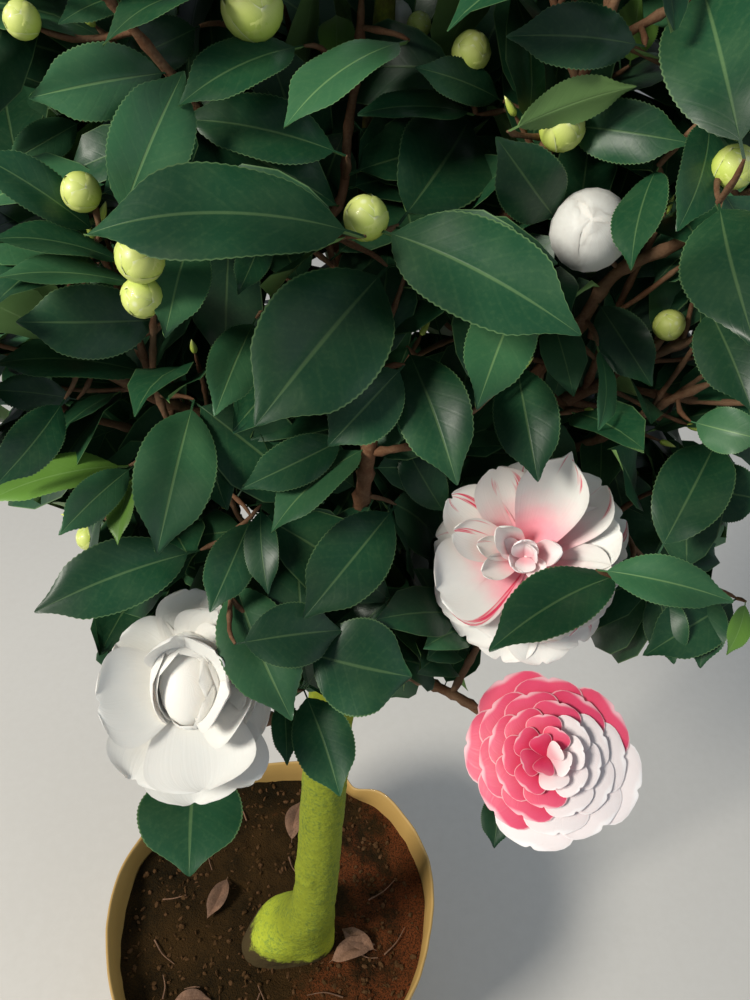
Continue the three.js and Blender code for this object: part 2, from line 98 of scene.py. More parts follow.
TWIG = Values(
    count=8, first=0.12, length=0.125, shorter_at_tip=0.35, shortest=0.028, steps=2, spread=62,
    tip_spread=28, lift=0.16, stray=0.14, tip_share=0.62, least=0.9, more=0.3,
)
LEAF = Values(
    widest_at=0.44, rise=0.0042, droop=0.2, look_out=0.5, look_along=0.3, spacing=0.013, first=0.12,
    last=0.985, spreads=(52, 70, 36), turn=1.3, tries=15, shrink=0.02, length_span=0.02,
)
GAP = Values(cell=0.0012, limb=0.0025, leaf=0.0035)

# What the finer growth adds to that rule, and the green buds at the ends of shoots.
FINE = Values(
    shares=(0.2, 0.4, 0.6, 0.8, 0.95), length=0.07, shortest=0.016, spread=58, radius=0.0015,
    tip_radius=0.0011, leaf_spacing=0.012, tries=18, bud_share=0.07, seed_step=7, shorter_at_tip=0.3,
    least=0.8, more=0.4, young_share=0.05, mid_share=0.3,
)
BUD = Values(share=0.28, least=0.75, most=1.1, sunk=0.8, behind=0.02)

# Where the draws for the finished shapes begin.
SEEDS = Values(twigs=900, leaves=300, blooms=500)

# The photograph's camera, fitted to the pot's rim and the trunk: its frame and focal length in pixels.
PHOTO = Values(
    width=750, height=1000, focal=785, eye=Vector((0.128, -0.399, 1.323)), pitch=math.radians(41.5),
    foliage_depth=0.5,
)
FORWARD = Vector((0, math.cos(PHOTO.pitch), -math.sin(PHOTO.pitch)))
SKYWARD = Vector((0, math.sin(PHOTO.pitch), math.cos(PHOTO.pitch)))


def length_property(name, description, default):
    return FloatProperty(name=name, description=description, default=default, unit="LENGTH")


def colour_property(name, description, default):
    return FloatVectorProperty(
        name=name, description=description, default=(*default, 1), size=4, subtype="COLOR", min=0, max=1,
    )


class ShrubSizes(bpy.types.PropertyGroup):
    """Sizes of the shrub's leaves, twigs, buds and pot"""

    leaf_length: length_property("Leaf length", "Length of a full leaf, with its stalk", 0.092)
    leaf_width: FloatProperty(
        name="Leaf width", description="A leaf's width as a share of its length", default=0.5,
        subtype="FACTOR",
    )
    twig_radius: length_property("Twig radius", "Radius of a twig at its foot", 0.0024)
    bud_radius: length_property("Bud radius", "Radius of a round flower bud", 0.011)
    pot_wall: length_property("Pot wall", "Thickness of the pot's soft wall", 0.002)
    bark_relief: length_property("Bark relief", "Height of the bark's lumps", 0.0014)
    soil_lumps: length_property("Soil lumps", "Height of the soil's lumps", 0.004)
    double_petals: IntProperty(
        name="Petals", description="Petals of a fully double bloom", default=38, min=20, max=120,
    )


class ShrubColours(bpy.types.PropertyGroup):
    """Colours of the shrub, its pot and its soil"""

    leaf_dark: colour_property("Dark leaf", "Upper side of most leaves", (0.009, 0.045, 0.019))
    leaf_mid: colour_property("Lighter leaf", "Upper side of the paler leaves", (0.026, 0.088, 0.038))
    leaf_young: colour_property("Young leaf", "Upper side of the youngest leaves", (0.09, 0.19, 0.03))
    leaf_under: colour_property("Underside", "Underside of the leaves", (0.12, 0.22, 0.07))
    # The vein colour also tints the painted highlight along the leaves' edges.
    leaf_vein: colour_property("Vein", "Midribs and veins", (0.2, 0.32, 0.12))
    bud: colour_property("Bud", "Scales of the round buds", (0.5, 0.62, 0.1))
    petal_white: colour_property("White petal", "Petals of the white bloom", (0.76, 0.74, 0.69))
    petal_blush: colour_property("Blush", "Pink at the foot of the striped petals", (0.88, 0.33, 0.39))
    petal_rose: colour_property("Rose petal", "Petals of the fully double bloom", (0.66, 0.018, 0.075))
    bark: colour_property("Bark", "Twigs and boughs", (0.1, 0.042, 0.018))
    algae: colour_property("Algae", "The green coat of the trunk and pot", (0.205, 0.24, 0.018))
    moss: colour_property("Moss", "The darkest green stains", (0.09, 0.13, 0.02))
    plastic: colour_property("Plastic", "The pot where it is clean", (0.45, 0.28, 0.085))
    # Damp soil, its colour darkened further as painted shade from the crown.
    soil: colour_property("Soil", "Damp soil", (0.01, 0.007, 0.0018))
    dry_leaf: colour_property("Dry leaf", "Fallen leaves on the soil", (0.22, 0.115, 0.065))


def sizes():
    return bpy.context.scene.camellia_sizes


def colours():
    return bpy.context.scene.camellia_colours


# Repeatable chance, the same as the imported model's.

def seeded(seed):
    """A function that draws repeatable numbers from 0 to 1."""
    word = 0xFFFFFFFF
    state = seed & word

    def draw():
        nonlocal state
        state = (state + 0x6D2B79F5) & word
        mixed = ((state ^ (state >> 15)) * (state | 1)) & word
        mixed ^= (mixed + (((mixed ^ (mixed >> 7)) * (mixed | 61)) & word)) & word
        return (mixed ^ (mixed >> 14)) / (word + 1)

    return draw


def lerp(a, b, share):
    return a + (b - a) * share


def smooth_step(value, low, high):
    share = min(1, max(0, (value - low) / (high - low)))
    return share * share * (3 - 2 * share)


# The trunk's line, and the crown's space.

def swell(height):
    return math.exp(-((height / TRUNK.swell_height) ** 2))


def lean_line(z):
    height = z - SOIL_LEVEL
    return Vector((TRUNK.foot_x + TRUNK.lean_x * height, TRUNK.foot_y + TRUNK.lean_y * height, z))


def trunk_axis(height):
    centre = lean_line(SOIL_LEVEL + height)
    centre.x += TRUNK.swell_aside * swell(height)
    centre.y += TRUNK.swell_back * swell(height)
    return centre


def trunk_radius(height):
    share = min(1, max(0, height / (TRUNK_TOP - SOIL_LEVEL)))
    bare = TRUNK.tip_radius + (TRUNK.radius - TRUNK.tip_radius) * (1 - share ** TRUNK.taper)
    return bare + TRUNK.swell_radius * swell(height)


def crown_reach(z, azimuth):
    height = (z - CROWN.bottom) / (CROWN.top - CROWN.bottom)
    if height <= 0 or height >= 1:
        return 0
    from_waist = (height - CROWN.waist) / (CROWN.waist if height < CROWN.waist else 1 - CROWN.waist)
    skirt = math.exp(-(((height - CROWN.skirt_at) / CROWN.skirt_span) ** 2))
    front = max(0, -math.sin(azimuth)) ** 2
    return CROWN.reach * math.sqrt(1 - from_waist ** 2) * (1 - front * CROWN.front_cut * (1 - skirt))


def in_crown(point):
    middle = lean_line(point.z)
    x, y = point.x - middle.x, point.y - middle.y
    return math.hypot(x, y) < crown_reach(point.z, math.atan2(y, x))


class Mass:
    """One mass of foliage: its space is the part of the crown that is nearest its middle."""

    def __init__(self, ring, index, number):
        z = lerp(CROWN.bottom, CROWN.top, ring.height)
        azimuth = math.radians(ring.turn + 360 / ring.count * index)
        self.ring = ring
        self.index = index
        self.name = f"{ring.name}_{index + 1}" if ring.count > 1 else ring.name
        self.seed = 101 + 17 * number
        self.out = Vector((math.cos(azimuth), math.sin(azimuth), 0))
        self.middle = lean_line(z) + self.out * crown_reach(z, azimuth) * ring.share
        self.shoots = []
        self.rods = []
        self.blades = []
        self.borders = []

    def meet(self, others):
        for other in others:
            if other is not self:
                between = (other.middle - self.middle).normalized()
                self.borders.append(((self.middle + other.middle) / 2, between))

    def holds(self, point, margin):
        return in_crown(point) and all((half - point).dot(way) > margin for half, way in self.borders)


# Limbs.

Rod = namedtuple("Rod", "a run length_squared radius middle reach owner")


def rod_between(a, b, radius, owner):
    run = b - a
    return Rod(a, run, max(run.length_squared, 1e-12), radius, (a + b) / 2, run.length / 2 + radius, owner)


def distance_to_rod(point, rod):
    share = min(1, max(0, (point - rod.a).dot(rod.run) / rod.length_squared))
    return (point - rod.a - rod.run * share).length


SIXTHS = [step / 6 for step in range(7)]


def distance_between(one, other):
    return min(
        distance_to_rod(rod.a + rod.run * share, target)
        for rod, target in ((one, other), (other, one)) for share in SIXTHS
    )


def smooth_path(knots, spacing):
    """Evenly spaced points along the smooth curve through the knots."""
    knots = np.array([tuple(knot) for knot in knots])
    padded = np.vstack([2 * knots[0] - knots[1], knots, 2 * knots[-1] - knots[-2]])
    t = np.linspace(0, 1, 12, endpoint=False)[:, None]
    stretches = [
        b + t / 2 * (c - a + t * (2 * a - 5 * b + 4 * c - d + t * (3 * (b - c) + d - a)))
        for a, b, c, d in zip(padded, padded[1:], padded[2:], padded[3:])
    ]
    dense = np.vstack([*stretches, knots[-1:]])
    run = np.r_[0, np.cumsum(np.linalg.norm(np.diff(dense, axis=0), axis=1))]
    even = np.linspace(0, run[-1], max(3, round(run[-1] / spacing) + 1))
    return [Vector(place) for place in zip(*(np.interp(even, run, dense[:, k]) for k in range(3)))]


class Limb:
    """A bough, stem or twig: points along its middle, and its radius at either end."""

    def __init__(self, knots, radius, tip_radius, owner, spacing=0.012):
        self.points = smooth_path(knots, spacing)
        self.radius = radius
        self.tip_radius = tip_radius
        self.length = sum((b - a).length for a, b in zip(self.points, self.points[1:]))
        self.fine = False
        self.bears = False
        last = len(self.points) - 1
        self.rods = [
            rod_between(self.points[i], self.points[i + 1], self.radius_at(i / last), owner)
            for i in range(last)
        ]

    def radius_at(self, share):
        return lerp(self.radius, self.tip_radius, share)

    def at(self, share):
        place = share * (len(self.points) - 1)
        index = min(int(place), len(self.points) - 2)
        return self.points[index].lerp(self.points[index + 1], place - index)

    def heading(self, share):
        return (self.at(min(1, share + 0.04)) - self.at(max(0, share - 0.04))).normalized()


# Shares along a bent way, at which its knots stand.
THIRDS = (0, 0.33, 0.67, 1)


def bent_way(start, bend, end, share):
    """A place on the curve from start to end that is drawn towards bend."""
    return start.lerp(bend, share).lerp(bend.lerp(end, share), share)


def aside(axis, angle, azimuth):
    """A direction that leaves an axis at an angle, turned round the axis by an azimuth."""
    side = Vector((-axis.y, axis.x, 0))
    if side.length_squared < 1e-6:
        side = Vector((1, 0, 0))
    side.normalize()
    side.rotate(Matrix.Rotation(azimuth, 3, axis))
    return axis * math.cos(angle) + side * math.sin(angle)


def shoot_knots(foot, heading, length, steps, lift, chance):
    """A shoot's knots bend towards the light and stray a little from step to step."""
    knots = [foot.copy()]
    direction = heading.copy()
    for _ in range(steps):
        knots.append(knots[-1] + direction * (length / steps))
        stray = Vector((chance() - 0.5, chance() - 0.5, chance() - 0.5)) * (2 * TWIG.stray)
        direction = (direction + UP * lift + stray).normalized()
    return knots


# The photograph's view.

def seen_at(pixel, depth):
    """The place that shows at a pixel of the photograph, at a depth in front of its camera."""
    across = (pixel[0] - PHOTO.width / 2) / PHOTO.focal
    upward = (PHOTO.height / 2 - pixel[1]) / PHOTO.focal
    return PHOTO.eye + (FORWARD + Vector((across, 0, 0)) + SKYWARD * upward) * depth


def pixel_of(point):
    """The pixel at which a place shows, and its depth."""
    away = point - PHOTO.eye
    depth = max(1e-6, away.dot(FORWARD))
    x = PHOTO.width / 2 + away.x / depth * PHOTO.focal
    return x, PHOTO.height / 2 - away.dot(SKYWARD) / depth * PHOTO.focal, depth


def before_photograph(point):
    """Whether a place is in the nearer foliage that the photograph shows."""
    x, y, depth = pixel_of(point)
    return 0 < x < PHOTO.width and 0 < y < PHOTO.height and depth < PHOTO.foliage_depth


# Below this line of pixels no leaf hides the pot and the ground but those that the photograph shows.
FOLIAGE_EDGE_X = (0, 88, 96, 262, 270, 345, 352, 430, 470, 480, 640, 650, 750)
FOLIAGE_EDGE_Y = (505, 520, 680, 690, 700, 700, 700, 700, 690, 650, 650, 655, 650)


class PhotoOutlook:
    """The photograph's own view, in cells of its frame's upper two thirds, where the foliage is."""

    cell = 10
    start = 0.25
    deepest = 0.8
    within = 0.09
    columns = PHOTO.width // cell
    rows = PHOTO.height * 2 // (3 * cell)

    def locate(self, point):
        x, y, depth = pixel_of(point)
        return x / self.cell, y / self.cell, depth

    def place(self, column, row, depth):
        return seen_at((column * self.cell, row * self.cell), depth)

    def forward_at(self, point):
        return (point - PHOTO.eye).normalized()


class SideOutlook:
    """A view of the crown from one side, without perspective, in square cells."""

    cell = 0.014
    start = -0.4
    deepest = 0.4
    within = 0.2
    columns = rows = 46

    def __init__(self, azimuth, elevation):
        level = math.cos(elevation)
        self.forward = -Vector((level * math.cos(azimuth), level * math.sin(azimuth), math.sin(elevation)))
        self.side = Vector((-self.forward.y, self.forward.x, 0)).normalized()
        self.up = self.side.cross(self.forward)
        self.middle = lean_line((CROWN.bottom + CROWN.top) / 2)

    def locate(self, point):
        away = point - self.middle
        column = away.dot(self.side) / self.cell + self.columns / 2
        return column, away.dot(self.up) / self.cell + self.rows / 2, away.dot(self.forward)

    def place(self, column, row, depth):
        across = self.side * ((column - self.columns / 2) * self.cell)
        upward = self.up * ((row - self.rows / 2) * self.cell)
        return self.middle + across + upward + self.forward * depth

    def forward_at(self, point):
        return self.forward


class Screen:
    """How deep the nearest leaves and blooms stand, by the cells of an outlook."""

    def __init__(self, outlook):
        self.outlook = outlook
        self.depths = {}

    def cover(self, points):
        for point in points:
            x, y, depth = self.outlook.locate(point)
            cell = (int(x), int(y))
            self.depths[cell] = min(depth, self.depths.get(cell, math.inf))

    def depth_at(self, column, row):
        return self.depths.get((int(column), int(row)), math.inf)

    def depth_near(self, column, row):
        """The mean depth of what shows round a cell, or 0 where nothing does."""
        column, row = int(column), int(row)
        for reach in range(8):
            near = [
                self.depths[x, y]
                for x in range(column - reach, column + reach + 1)
                for y in range(row - reach, row + reach + 1)
                if (x, y) in self.depths
            ]
            if near:
                return sum(near) / len(near)
        return 0

    def hidden_by(self, point, margin=0.008):
        """Whether something here would stand before them, or where the photograph shows the ground."""
        x, y, _ = pixel_of(point)
        if not (0 <= x < PHOTO.width and 0 <= y < PHOTO.height):
            return False
        if y > np.interp(x, FOLIAGE_EDGE_X, FOLIAGE_EDGE_Y):
            return True
        column, row, depth = self.outlook.locate(point)
        return depth < self.depths.get((int(column), int(row)), 0) + margin


# Leaves that the photograph shows: the pixels and depths of foot and tip, the width in pixels, the tone,
# which way the face is turned from the camera (1 up, -1 down), and how much the leaf arches.
ShownLeaf = namedtuple(
    "ShownLeaf", "foot foot_depth tip tip_depth width tone turn arch", defaults=("dark", 1, 0.07),
)
SHOWN_LEAVES = [ShownLeaf(*row) for row in (
    ((347, 236), 0.335, (83, 231), 0.315, 92, "dark", 1, 0.12),
    ((126, 208), 0.345, (184, 70), 0.342, 80, "mid"), ((155, 75), 0.352, (29, 98), 0.335, 70, "mid"),
    ((290, 52), 0.358, (178, 103), 0.338, 50), ((225, 7), 0.345, (102, 43), 0.32, 24, "dark", 1, 0.14),
    ((397, 48), 0.362, (283, 125), 0.338, 45, "mid"), ((190, 240), 0.38, (165, 336), 0.358, 65, "mid"),
    ((84, 225), 0.362, (-30, 150), 0.335, 50), ((112, 262), 0.366, (-20, 238), 0.345, 30),
    ((124, 285), 0.37, (-12, 278), 0.35, 28, "mid"), ((150, 320), 0.405, (16, 322), 0.38, 75),
    ((70, 128), 0.4, (5, 165), 0.385, 40, "mid"),
    ((392, 237), 0.362, (581, 334), 0.332, 100, "dark", 1, 0.1),
    ((405, 215), 0.378, (470, 118), 0.425, 100, "dark", -1),
    ((551, 212), 0.402, (497, 138), 0.358, 70, "dark", -1), ((740, 142), 0.3, (700, -20), 0.325, 110),
    ((722, 215), 0.32, (755, 345), 0.285, 100), ((705, 129), 0.345, (679, 230), 0.33, 50),
    ((525, 125), 0.352, (637, 85), 0.335, 42, "under", -1), ((628, 45), 0.335, (507, 36), 0.325, 60),
    ((490, 96), 0.38, (416, 67), 0.36, 40), ((632, 48), 0.37, (640, -12), 0.35, 45, "young"),
    ((576, 127), 0.375, (690, 143), 0.35, 60), ((655, 178), 0.37, (630, 268), 0.35, 48),
    ((520, 300), 0.4, (477, 408), 0.37, 70, "mid"), ((191, 412), 0.435, (157, 554), 0.405, 80, "mid"),
    ((378, 278), 0.385, (256, 425), 0.36, 128), ((251, 330), 0.405, (215, 415), 0.38, 55, "mid"),
    ((335, 443), 0.43, (242, 488), 0.41, 50), ((359, 455), 0.435, (270, 531), 0.41, 44, "mid"),
    ((388, 515), 0.455, (304, 618), 0.43, 75), ((56, 410), 0.42, (-5, 486), 0.395, 50),
    ((115, 469), 0.44, (-15, 500), 0.41, 40, "young"), ((124, 475), 0.435, (59, 535), 0.41, 42, "mid"),
    ((132, 486), 0.44, (117, 545), 0.42, 24, "young"), ((187, 555), 0.455, (34, 612), 0.425, 72),
    ((246, 529), 0.455, (210, 612), 0.435, 50), ((262, 518), 0.45, (268, 594), 0.435, 36),
    ((238, 588), 0.46, (292, 720), 0.43, 78, "mid"), ((250, 642), 0.431, (342, 630), 0.446, 66),
    ((317, 655), 0.449, (412, 677), 0.449, 98), ((308, 702), 0.5, (340, 796), 0.475, 62),
    ((284, 705), 0.505, (287, 765), 0.48, 30), ((195, 770), 0.51, (189, 876), 0.47, 104),
    ((411, 359), 0.41, (457, 484), 0.385, 76), ((518, 372), 0.43, (538, 481), 0.41, 66),
    ((614, 579), 0.44, (489, 650), 0.415, 66), ((611, 573), 0.43, (734, 601), 0.41, 50, "mid"),
    ((664, 543), 0.45, (719, 436), 0.47, 72, "dark", -1), ((705, 425), 0.43, (765, 440), 0.41, 48, "mid"),
    ((712, 318), 0.36, (752, 410), 0.335, 66), ((705, 490), 0.482, (765, 500), 0.468, 60),
    ((660, 600), 0.47, (674, 664), 0.458, 44), ((703, 598), 0.476, (700, 668), 0.462, 46),
    ((394, 376), 0.39, (328, 446), 0.388, 70), ((728, 604), 0.48, (645, 655), 0.455, 60),
    ((742, 612), 0.47, (727, 655), 0.455, 22, "young"), ((500, 800), 0.49, (494, 848), 0.475, 34),
    ((598, 358), 0.42, (600, 430), 0.4, 20, "mid"), ((337, 64), 0.385, (337, 14), 0.4, 38, "young", -1),
    ((62, 398), 0.445, (-12, 390), 0.43, 38), ((186, 32), 0.362, (118, 62), 0.348, 50),
    ((140, -5), 0.35, (58, 22), 0.332, 34), ((330, 152), 0.376, (180, 118), 0.362, 62),
    ((262, 236), 0.39, (238, 294), 0.382, 36), ((140, 374), 0.432, (-8, 362), 0.41, 44),
    ((461, 114), 0.385, (358, 112), 0.37, 28), ((604, 312), 0.432, (652, 386), 0.42, 52),
    ((440, 505), 0.475, (402, 440), 0.47, 44, "dark", -1),
)]

# Twigs that the photograph shows: pixels and depths along each, and its radius at either end.
ShownTwig = namedtuple("ShownTwig", "path radius tip_radius")
SHOWN_TWIGS = [ShownTwig(*row) for row in (
    ([((344, 186), 0.40), ((348, 130), 0.40), ((358, 60), 0.385), ((362, -12), 0.37)], 0.0026, 0.002),
    ([((307, 95), 0.42), ((292, 38), 0.40), ((284, 6), 0.38)], 0.0018, 0.0014),
    ([((278, 114), 0.42), ((263, 72), 0.40), ((255, 40), 0.385)], 0.0018, 0.0014),
    ([((336, 275), 0.43), ((329, 240), 0.41), ((347, 236), 0.343)], 0.0018, 0.0014),
    ([((167, 418), 0.45), ((154, 381), 0.44), ((153, 340), 0.41), ((154, 300), 0.385)], 0.0022, 0.0016),
    ([((246, 524), 0.49), ((228, 492), 0.47), ((215, 465), 0.45)], 0.002, 0.0015),
    ([((153, 438), 0.50), ((80, 415), 0.47), ((0, 383), 0.44)], 0.0028, 0.0022),
    ([((534, 378), 0.46), ((573, 335), 0.445), ((614, 275), 0.425), ((676, 244), 0.40),
      ((715, 213), 0.37), ((752, 190), 0.345)], 0.0042, 0.0026),
    ([((590, 330), 0.45), ((640, 297), 0.43), ((686, 262), 0.405)], 0.0016, 0.0013),
    ([((545, 456), 0.50), ((605, 436), 0.475), ((662, 404), 0.45), ((718, 380), 0.425)], 0.0032, 0.0022),
    ([((657, 400), 0.45), ((684, 362), 0.44), ((704, 330), 0.425)], 0.0017, 0.0013),
    ([((600, 500), 0.50), ((632, 545), 0.475), ((626, 572), 0.452), ((613, 577), 0.438)], 0.0019, 0.0014),
    ([((464, 333), 0.45), ((440, 344), 0.43), ((416, 356), 0.415)], 0.0018, 0.0014),
)]

# Buds that the photograph shows: pixel, depth, width in pixels, where the tip points, and kind.
ShownBud = namedtuple("ShownBud", "pixel depth width facing kind", defaults=("green",))
SHOWN_BUDS = [ShownBud(*row) for row in (
    ((22, 20), 0.33, 35, (-0.5, -0.6, 0.5)), ((81, 192), 0.35, 38, (-0.3, -0.7, 0.5)),
    ((140, 258), 0.345, 48, (-0.2, -0.8, 0.5)), ((142, 297), 0.36, 40, (-0.1, -0.8, 0.1)),
    ((252, 8), 0.345, 60, (-0.1, -0.6, 0.7)), ((366, 218), 0.365, 44, (-0.1, -0.4, 0.9)),
    ((471, 52), 0.37, 38, (0.1, -0.6, 0.7)), ((562, 128), 0.366, 44, (0.2, -0.6, 0.6)),
    ((734, 167), 0.335, 42, (0.2, -0.7, 0.6)), ((669, 325), 0.44, 30, (0.1, -0.7, 0.5)),
    ((290, 295), 0.41, 18, (-0.2, -0.5, 0.8)), ((400, 16), 0.40, 24, (-0.3, -0.4, 0.8), "white"),
    ((419, 25), 0.39, 24, (0.2, -0.5, 0.8)), ((590, 231), 0.40, 78, (-0.2, -0.7, 0.5), "white"),
)]

# How twigs reach the leaves and buds of the photograph: the radii at their ends, how they bend, and what
# makes one limb a better start than another.
CARRY = Values(
    sag=0.004, bud_end=0.0013, leaf_end=0.0012, least=0.0015, behind=0.6, bend=0.45, side_bend=0.12,
    thicker=0.0008, farthest=0.25, off_line=0.35, in_front=2.5,
)

Bloom = namedtuple("Bloom", "kind mass centre facing radius")
FRONT_BLOOMS = [
    Bloom("double", "lower_2", Vector((0.2293, -0.1533, 0.9043)), Vector((-0.2, -0.47, 0.86)), 0.056),
    Bloom("striped", "lower_2", Vector((0.2173, -0.0733, 0.9906)), Vector((-0.19, -0.69, 0.7)), 0.059),
    Bloom("white", "lower_1", Vector((0.0197, -0.1261, 0.9377)), Vector((0.1, -0.6, 0.78)), 0.049),
]
OTHER_BLOOMS = {"lower_4": "double", "middle_2": "striped", "middle_4": "white", "upper_2": "double"}
OTHER_BLOOM = Values(radius=0.048, look_up=0.35, step=0.004)

# The room that a bloom fills, the disc that nothing covers, and its stalk's start, bend and end.
BLOOM_ROOM = 0.92
BLOOM_COVER = 1.12
BLOOM_STALK = Values(start=0.75, bend=0.018, end=0.6)


# Leaves that turn into the gaps between the others: the sizes to try and the depths behind the crown's skin,
# in metres, the twigs to try, how near and far one may be as a share of the leaf's length, how far the leaf
# faces the viewer, and the azimuth and elevation of each outlook.
FILL = Values(
    seed=77, step=1.3, front_sizes=(0.088, 0.082, 0.07, 0.058), side_sizes=(0.085, 0.065), near=0.2,
    depths=(0.012, 0.03, 0.055, 0.09, 0.13), depth_step=0.02, choices=6, shortest_reach=0.25,
    longest_reach=0.85, mid_share=0.25, leans=(1.2, 0.3, 3.0), least=0.85, more=0.3,
    outlooks=[
        (-90, 5), (-45, 5), (0, 5), (45, 5), (90, 5), (135, 5), (180, 5), (225, 5), (-90, 45), (0, 45),
        (90, 45), (180, 45), (0, 85), (-60, -30), (60, -30), (180, -30),
    ],
)


# Leaves as four-cornered blades, to keep them from crossing each other and the limbs.

# The share of a leaf's length round its middle that may touch others, and how its outline fills out.
BLADE = Values(reach=0.56, fullness=0.85, width=0.95)


class Blade:
    """A leaf's foot, tip and edges, and the values that its finished shape needs."""

    def __init__(self, foot, tip, face, width, tone, shape=0):
        self.foot = foot
        self.tip = tip
        self.length = (tip - foot).length
        self.width = width
        self.tone = tone
        self.shape = shape
        self.heading = (tip - foot).normalized()
        across = face.cross(self.heading).normalized()
        self.face = self.heading.cross(across)
        widest = foot.lerp(tip, LEAF.widest_at) + self.face * LEAF.rise
        self.left = widest + across * (width / 2)
        self.right = widest - across * (width / 2)
        self.middle = foot.lerp(tip, 0.5)
        self.reach = self.length * BLADE.reach
        self.halves = ((foot, self.left, tip), (foot, tip, self.right))
        self.edges = (
            (foot, self.left), (self.left, tip), (tip, self.right), (self.right, foot), (foot, tip),
        )

    def samples(self, rows=4, columns=3):
        """Places spread over the blade."""
        spread = []
        for row in range(1, rows + 1):
            along = row / rows
            half = math.sin(math.pi * along ** BLADE.fullness) * BLADE.width
            middle = self.foot.lerp(self.tip, along) + self.face * LEAF.rise * half
            for column in range(columns):
                aside_share = column * 2 / (columns - 1) - 1
                spread.append(middle + (self.left - self.right) * (aside_share * half / 2))
        return spread


def cuts(start, end, corners):
    run = end - start
    hit = intersect_ray_tri(*corners, run, start, True)
    return hit is not None and 0 < (hit - start).dot(run) < run.length_squared


def blades_cross(one, other):
    if (one.middle - other.middle).length > one.reach + other.reach:
        return False
    for blade, target in ((one, other), (other, one)):
        for start, end in blade.edges:
            if any(cuts(start, end, half) for half in target.halves):
                return True
    return False


